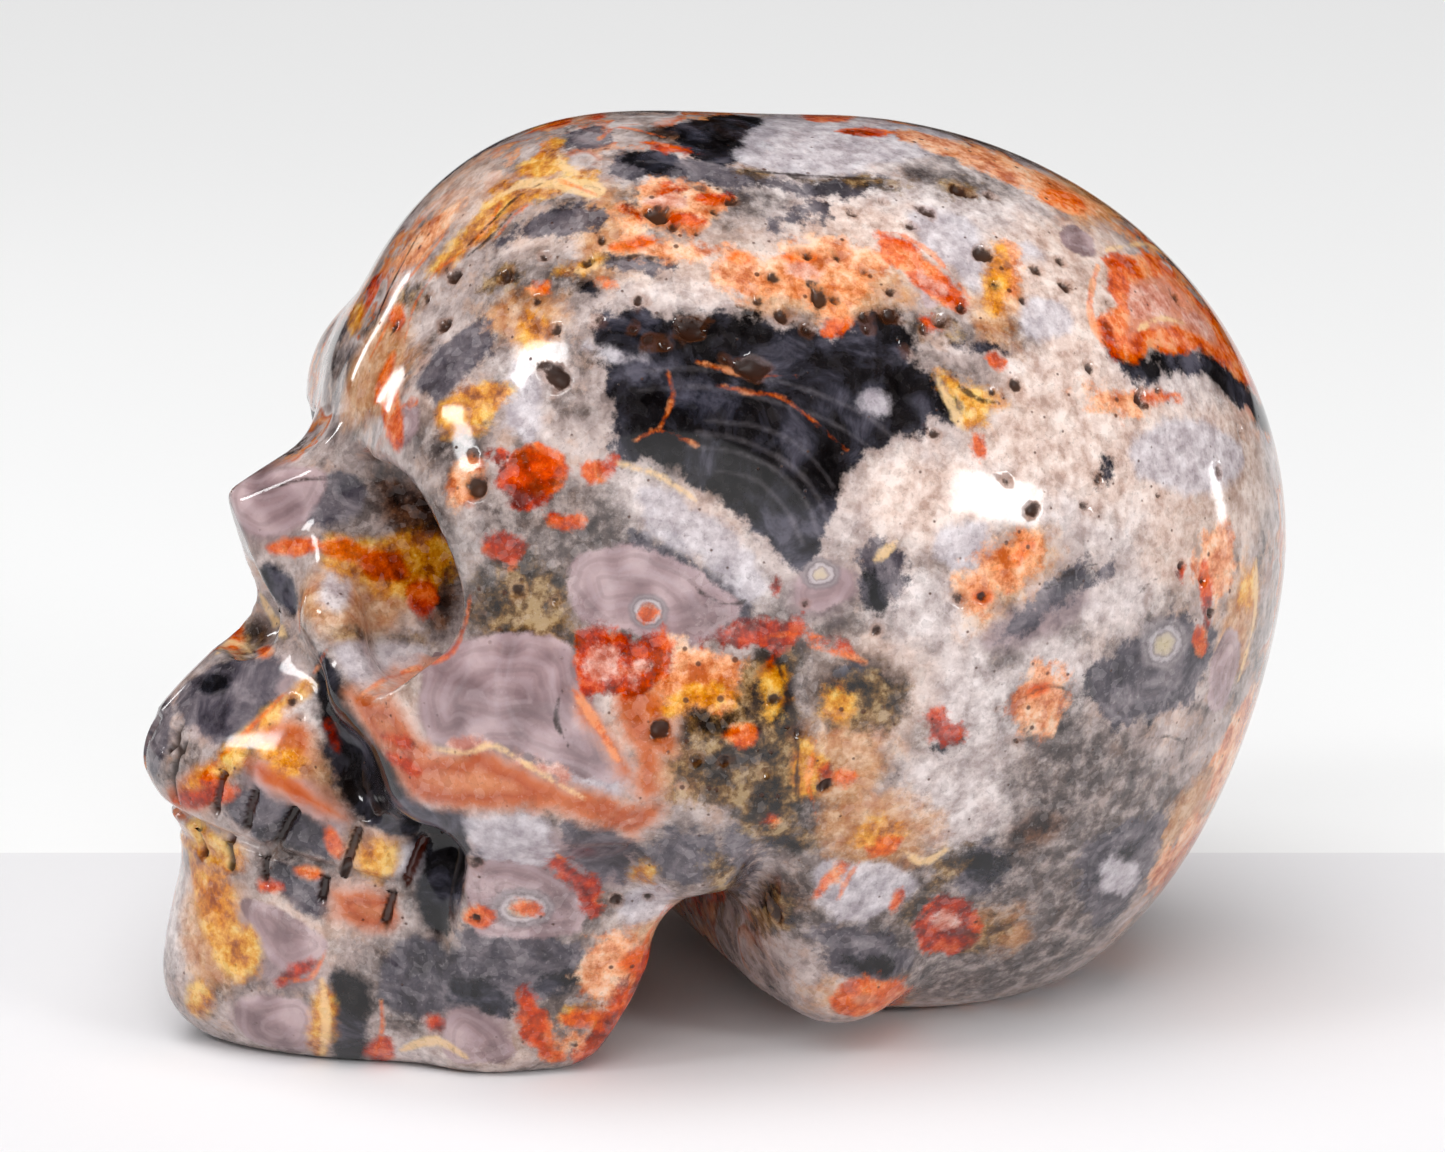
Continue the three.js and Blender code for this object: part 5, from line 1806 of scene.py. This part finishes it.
# Each light's azimuth, elevation, width and height in degrees, then its brightness
window("window_right", 121, 16, 19, 9, 17, roll=-24)
window("window_left", 16, 37, 15, 7, 16, roll=20)
window("strip_right", 180, 3, 4, 9, 9)
window("strip_far", -61, 12, 2.5, 14, 8)
softbox_top = window("softbox_top", 50, 78, 56, 44, 3.35, SOFTBOX_DISTANCE)
softbox_top.visible_glossy = False
fill = window("fill", 64, 36, 50, 44, 2.25, SOFTBOX_DISTANCE)
fill.visible_glossy = False

# The studio's pale walls show beyond the floor, and don't veil the polish or light the stone
WALL_STRENGTH = 0.85
WALL_COLOUR = (1.0, 1.0, 1.0, 1.0)
world = bpy.data.worlds.new("world")
bpy.context.scene.world = world
world.use_nodes = True
walls = world.node_tree.nodes["Background"]
walls.inputs["Color"].default_value = WALL_COLOUR
walls.inputs["Strength"].default_value = WALL_STRENGTH
world.cycles_visibility.glossy = False
world.cycles_visibility.diffuse = False

# Floor: a pale sheet of paper whose far edge shows, on a paler board, in metres
PAPER_HALF = 9.0
PAPER_EDGE = 0.041
PAPER_DROP = 0.0001
BOARD_DROP = 0.00013
PAPER_TINT = (238, 237, 239)
BOARD_TINT = (251, 251, 251)
FIBRE_DARKER = (24, 24, 22)
FIBRE_SHARE = 0.06
FIBRE_SCALE = 900
FLOOR_ROUGHNESS = 0.8


def floor_sheet(name, far, drop, colour):
    """A level sheet under the skull, whose far edge is square to the photograph's view."""
    back = Vector((NEAR_PICTURE[3][0], NEAR_PICTURE[3][1], 0)).normalized()
    side = Vector((-back.y, back.x, 0))
    corners = [side * a + back * b for a, b in (
        (-PAPER_HALF, -far), (PAPER_HALF, -far), (PAPER_HALF, PAPER_HALF), (-PAPER_HALF, PAPER_HALF)
    )]
    sheet_mesh = bpy.data.meshes.new(name)
    sheet_mesh.from_pydata([(c.x, c.y, -drop) for c in corners], [], [(0, 1, 2, 3)])
    paper = Shader(name)
    coordinates = paper.node("ShaderNodeTexCoord", {}, {}, "Object")
    fibre = paper.noise(coordinates, FIBRE_SCALE, 3, 0.6)
    fibre_tint = tint(*(part - darker for part, darker in zip(colour, FIBRE_DARKER)))
    tone = paper.mix(fibre * FIBRE_SHARE, tint(*colour), fibre_tint)
    sockets = {"Base Color": tone, "Roughness": FLOOR_ROUGHNESS}
    finish = paper.node("ShaderNodeBsdfPrincipled", {}, sockets)
    paper.node("ShaderNodeOutputMaterial", {}, {"Surface": finish})
    sheet_mesh.materials.append(paper.material)
    sheet = bpy.data.objects.new(name, sheet_mesh)
    bpy.context.scene.collection.objects.link(sheet)
    sheet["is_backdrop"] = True


floor_sheet("paper", PAPER_EDGE, PAPER_DROP, PAPER_TINT)
floor_sheet("board", PAPER_HALF, BOARD_DROP, BOARD_TINT)

low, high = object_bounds()
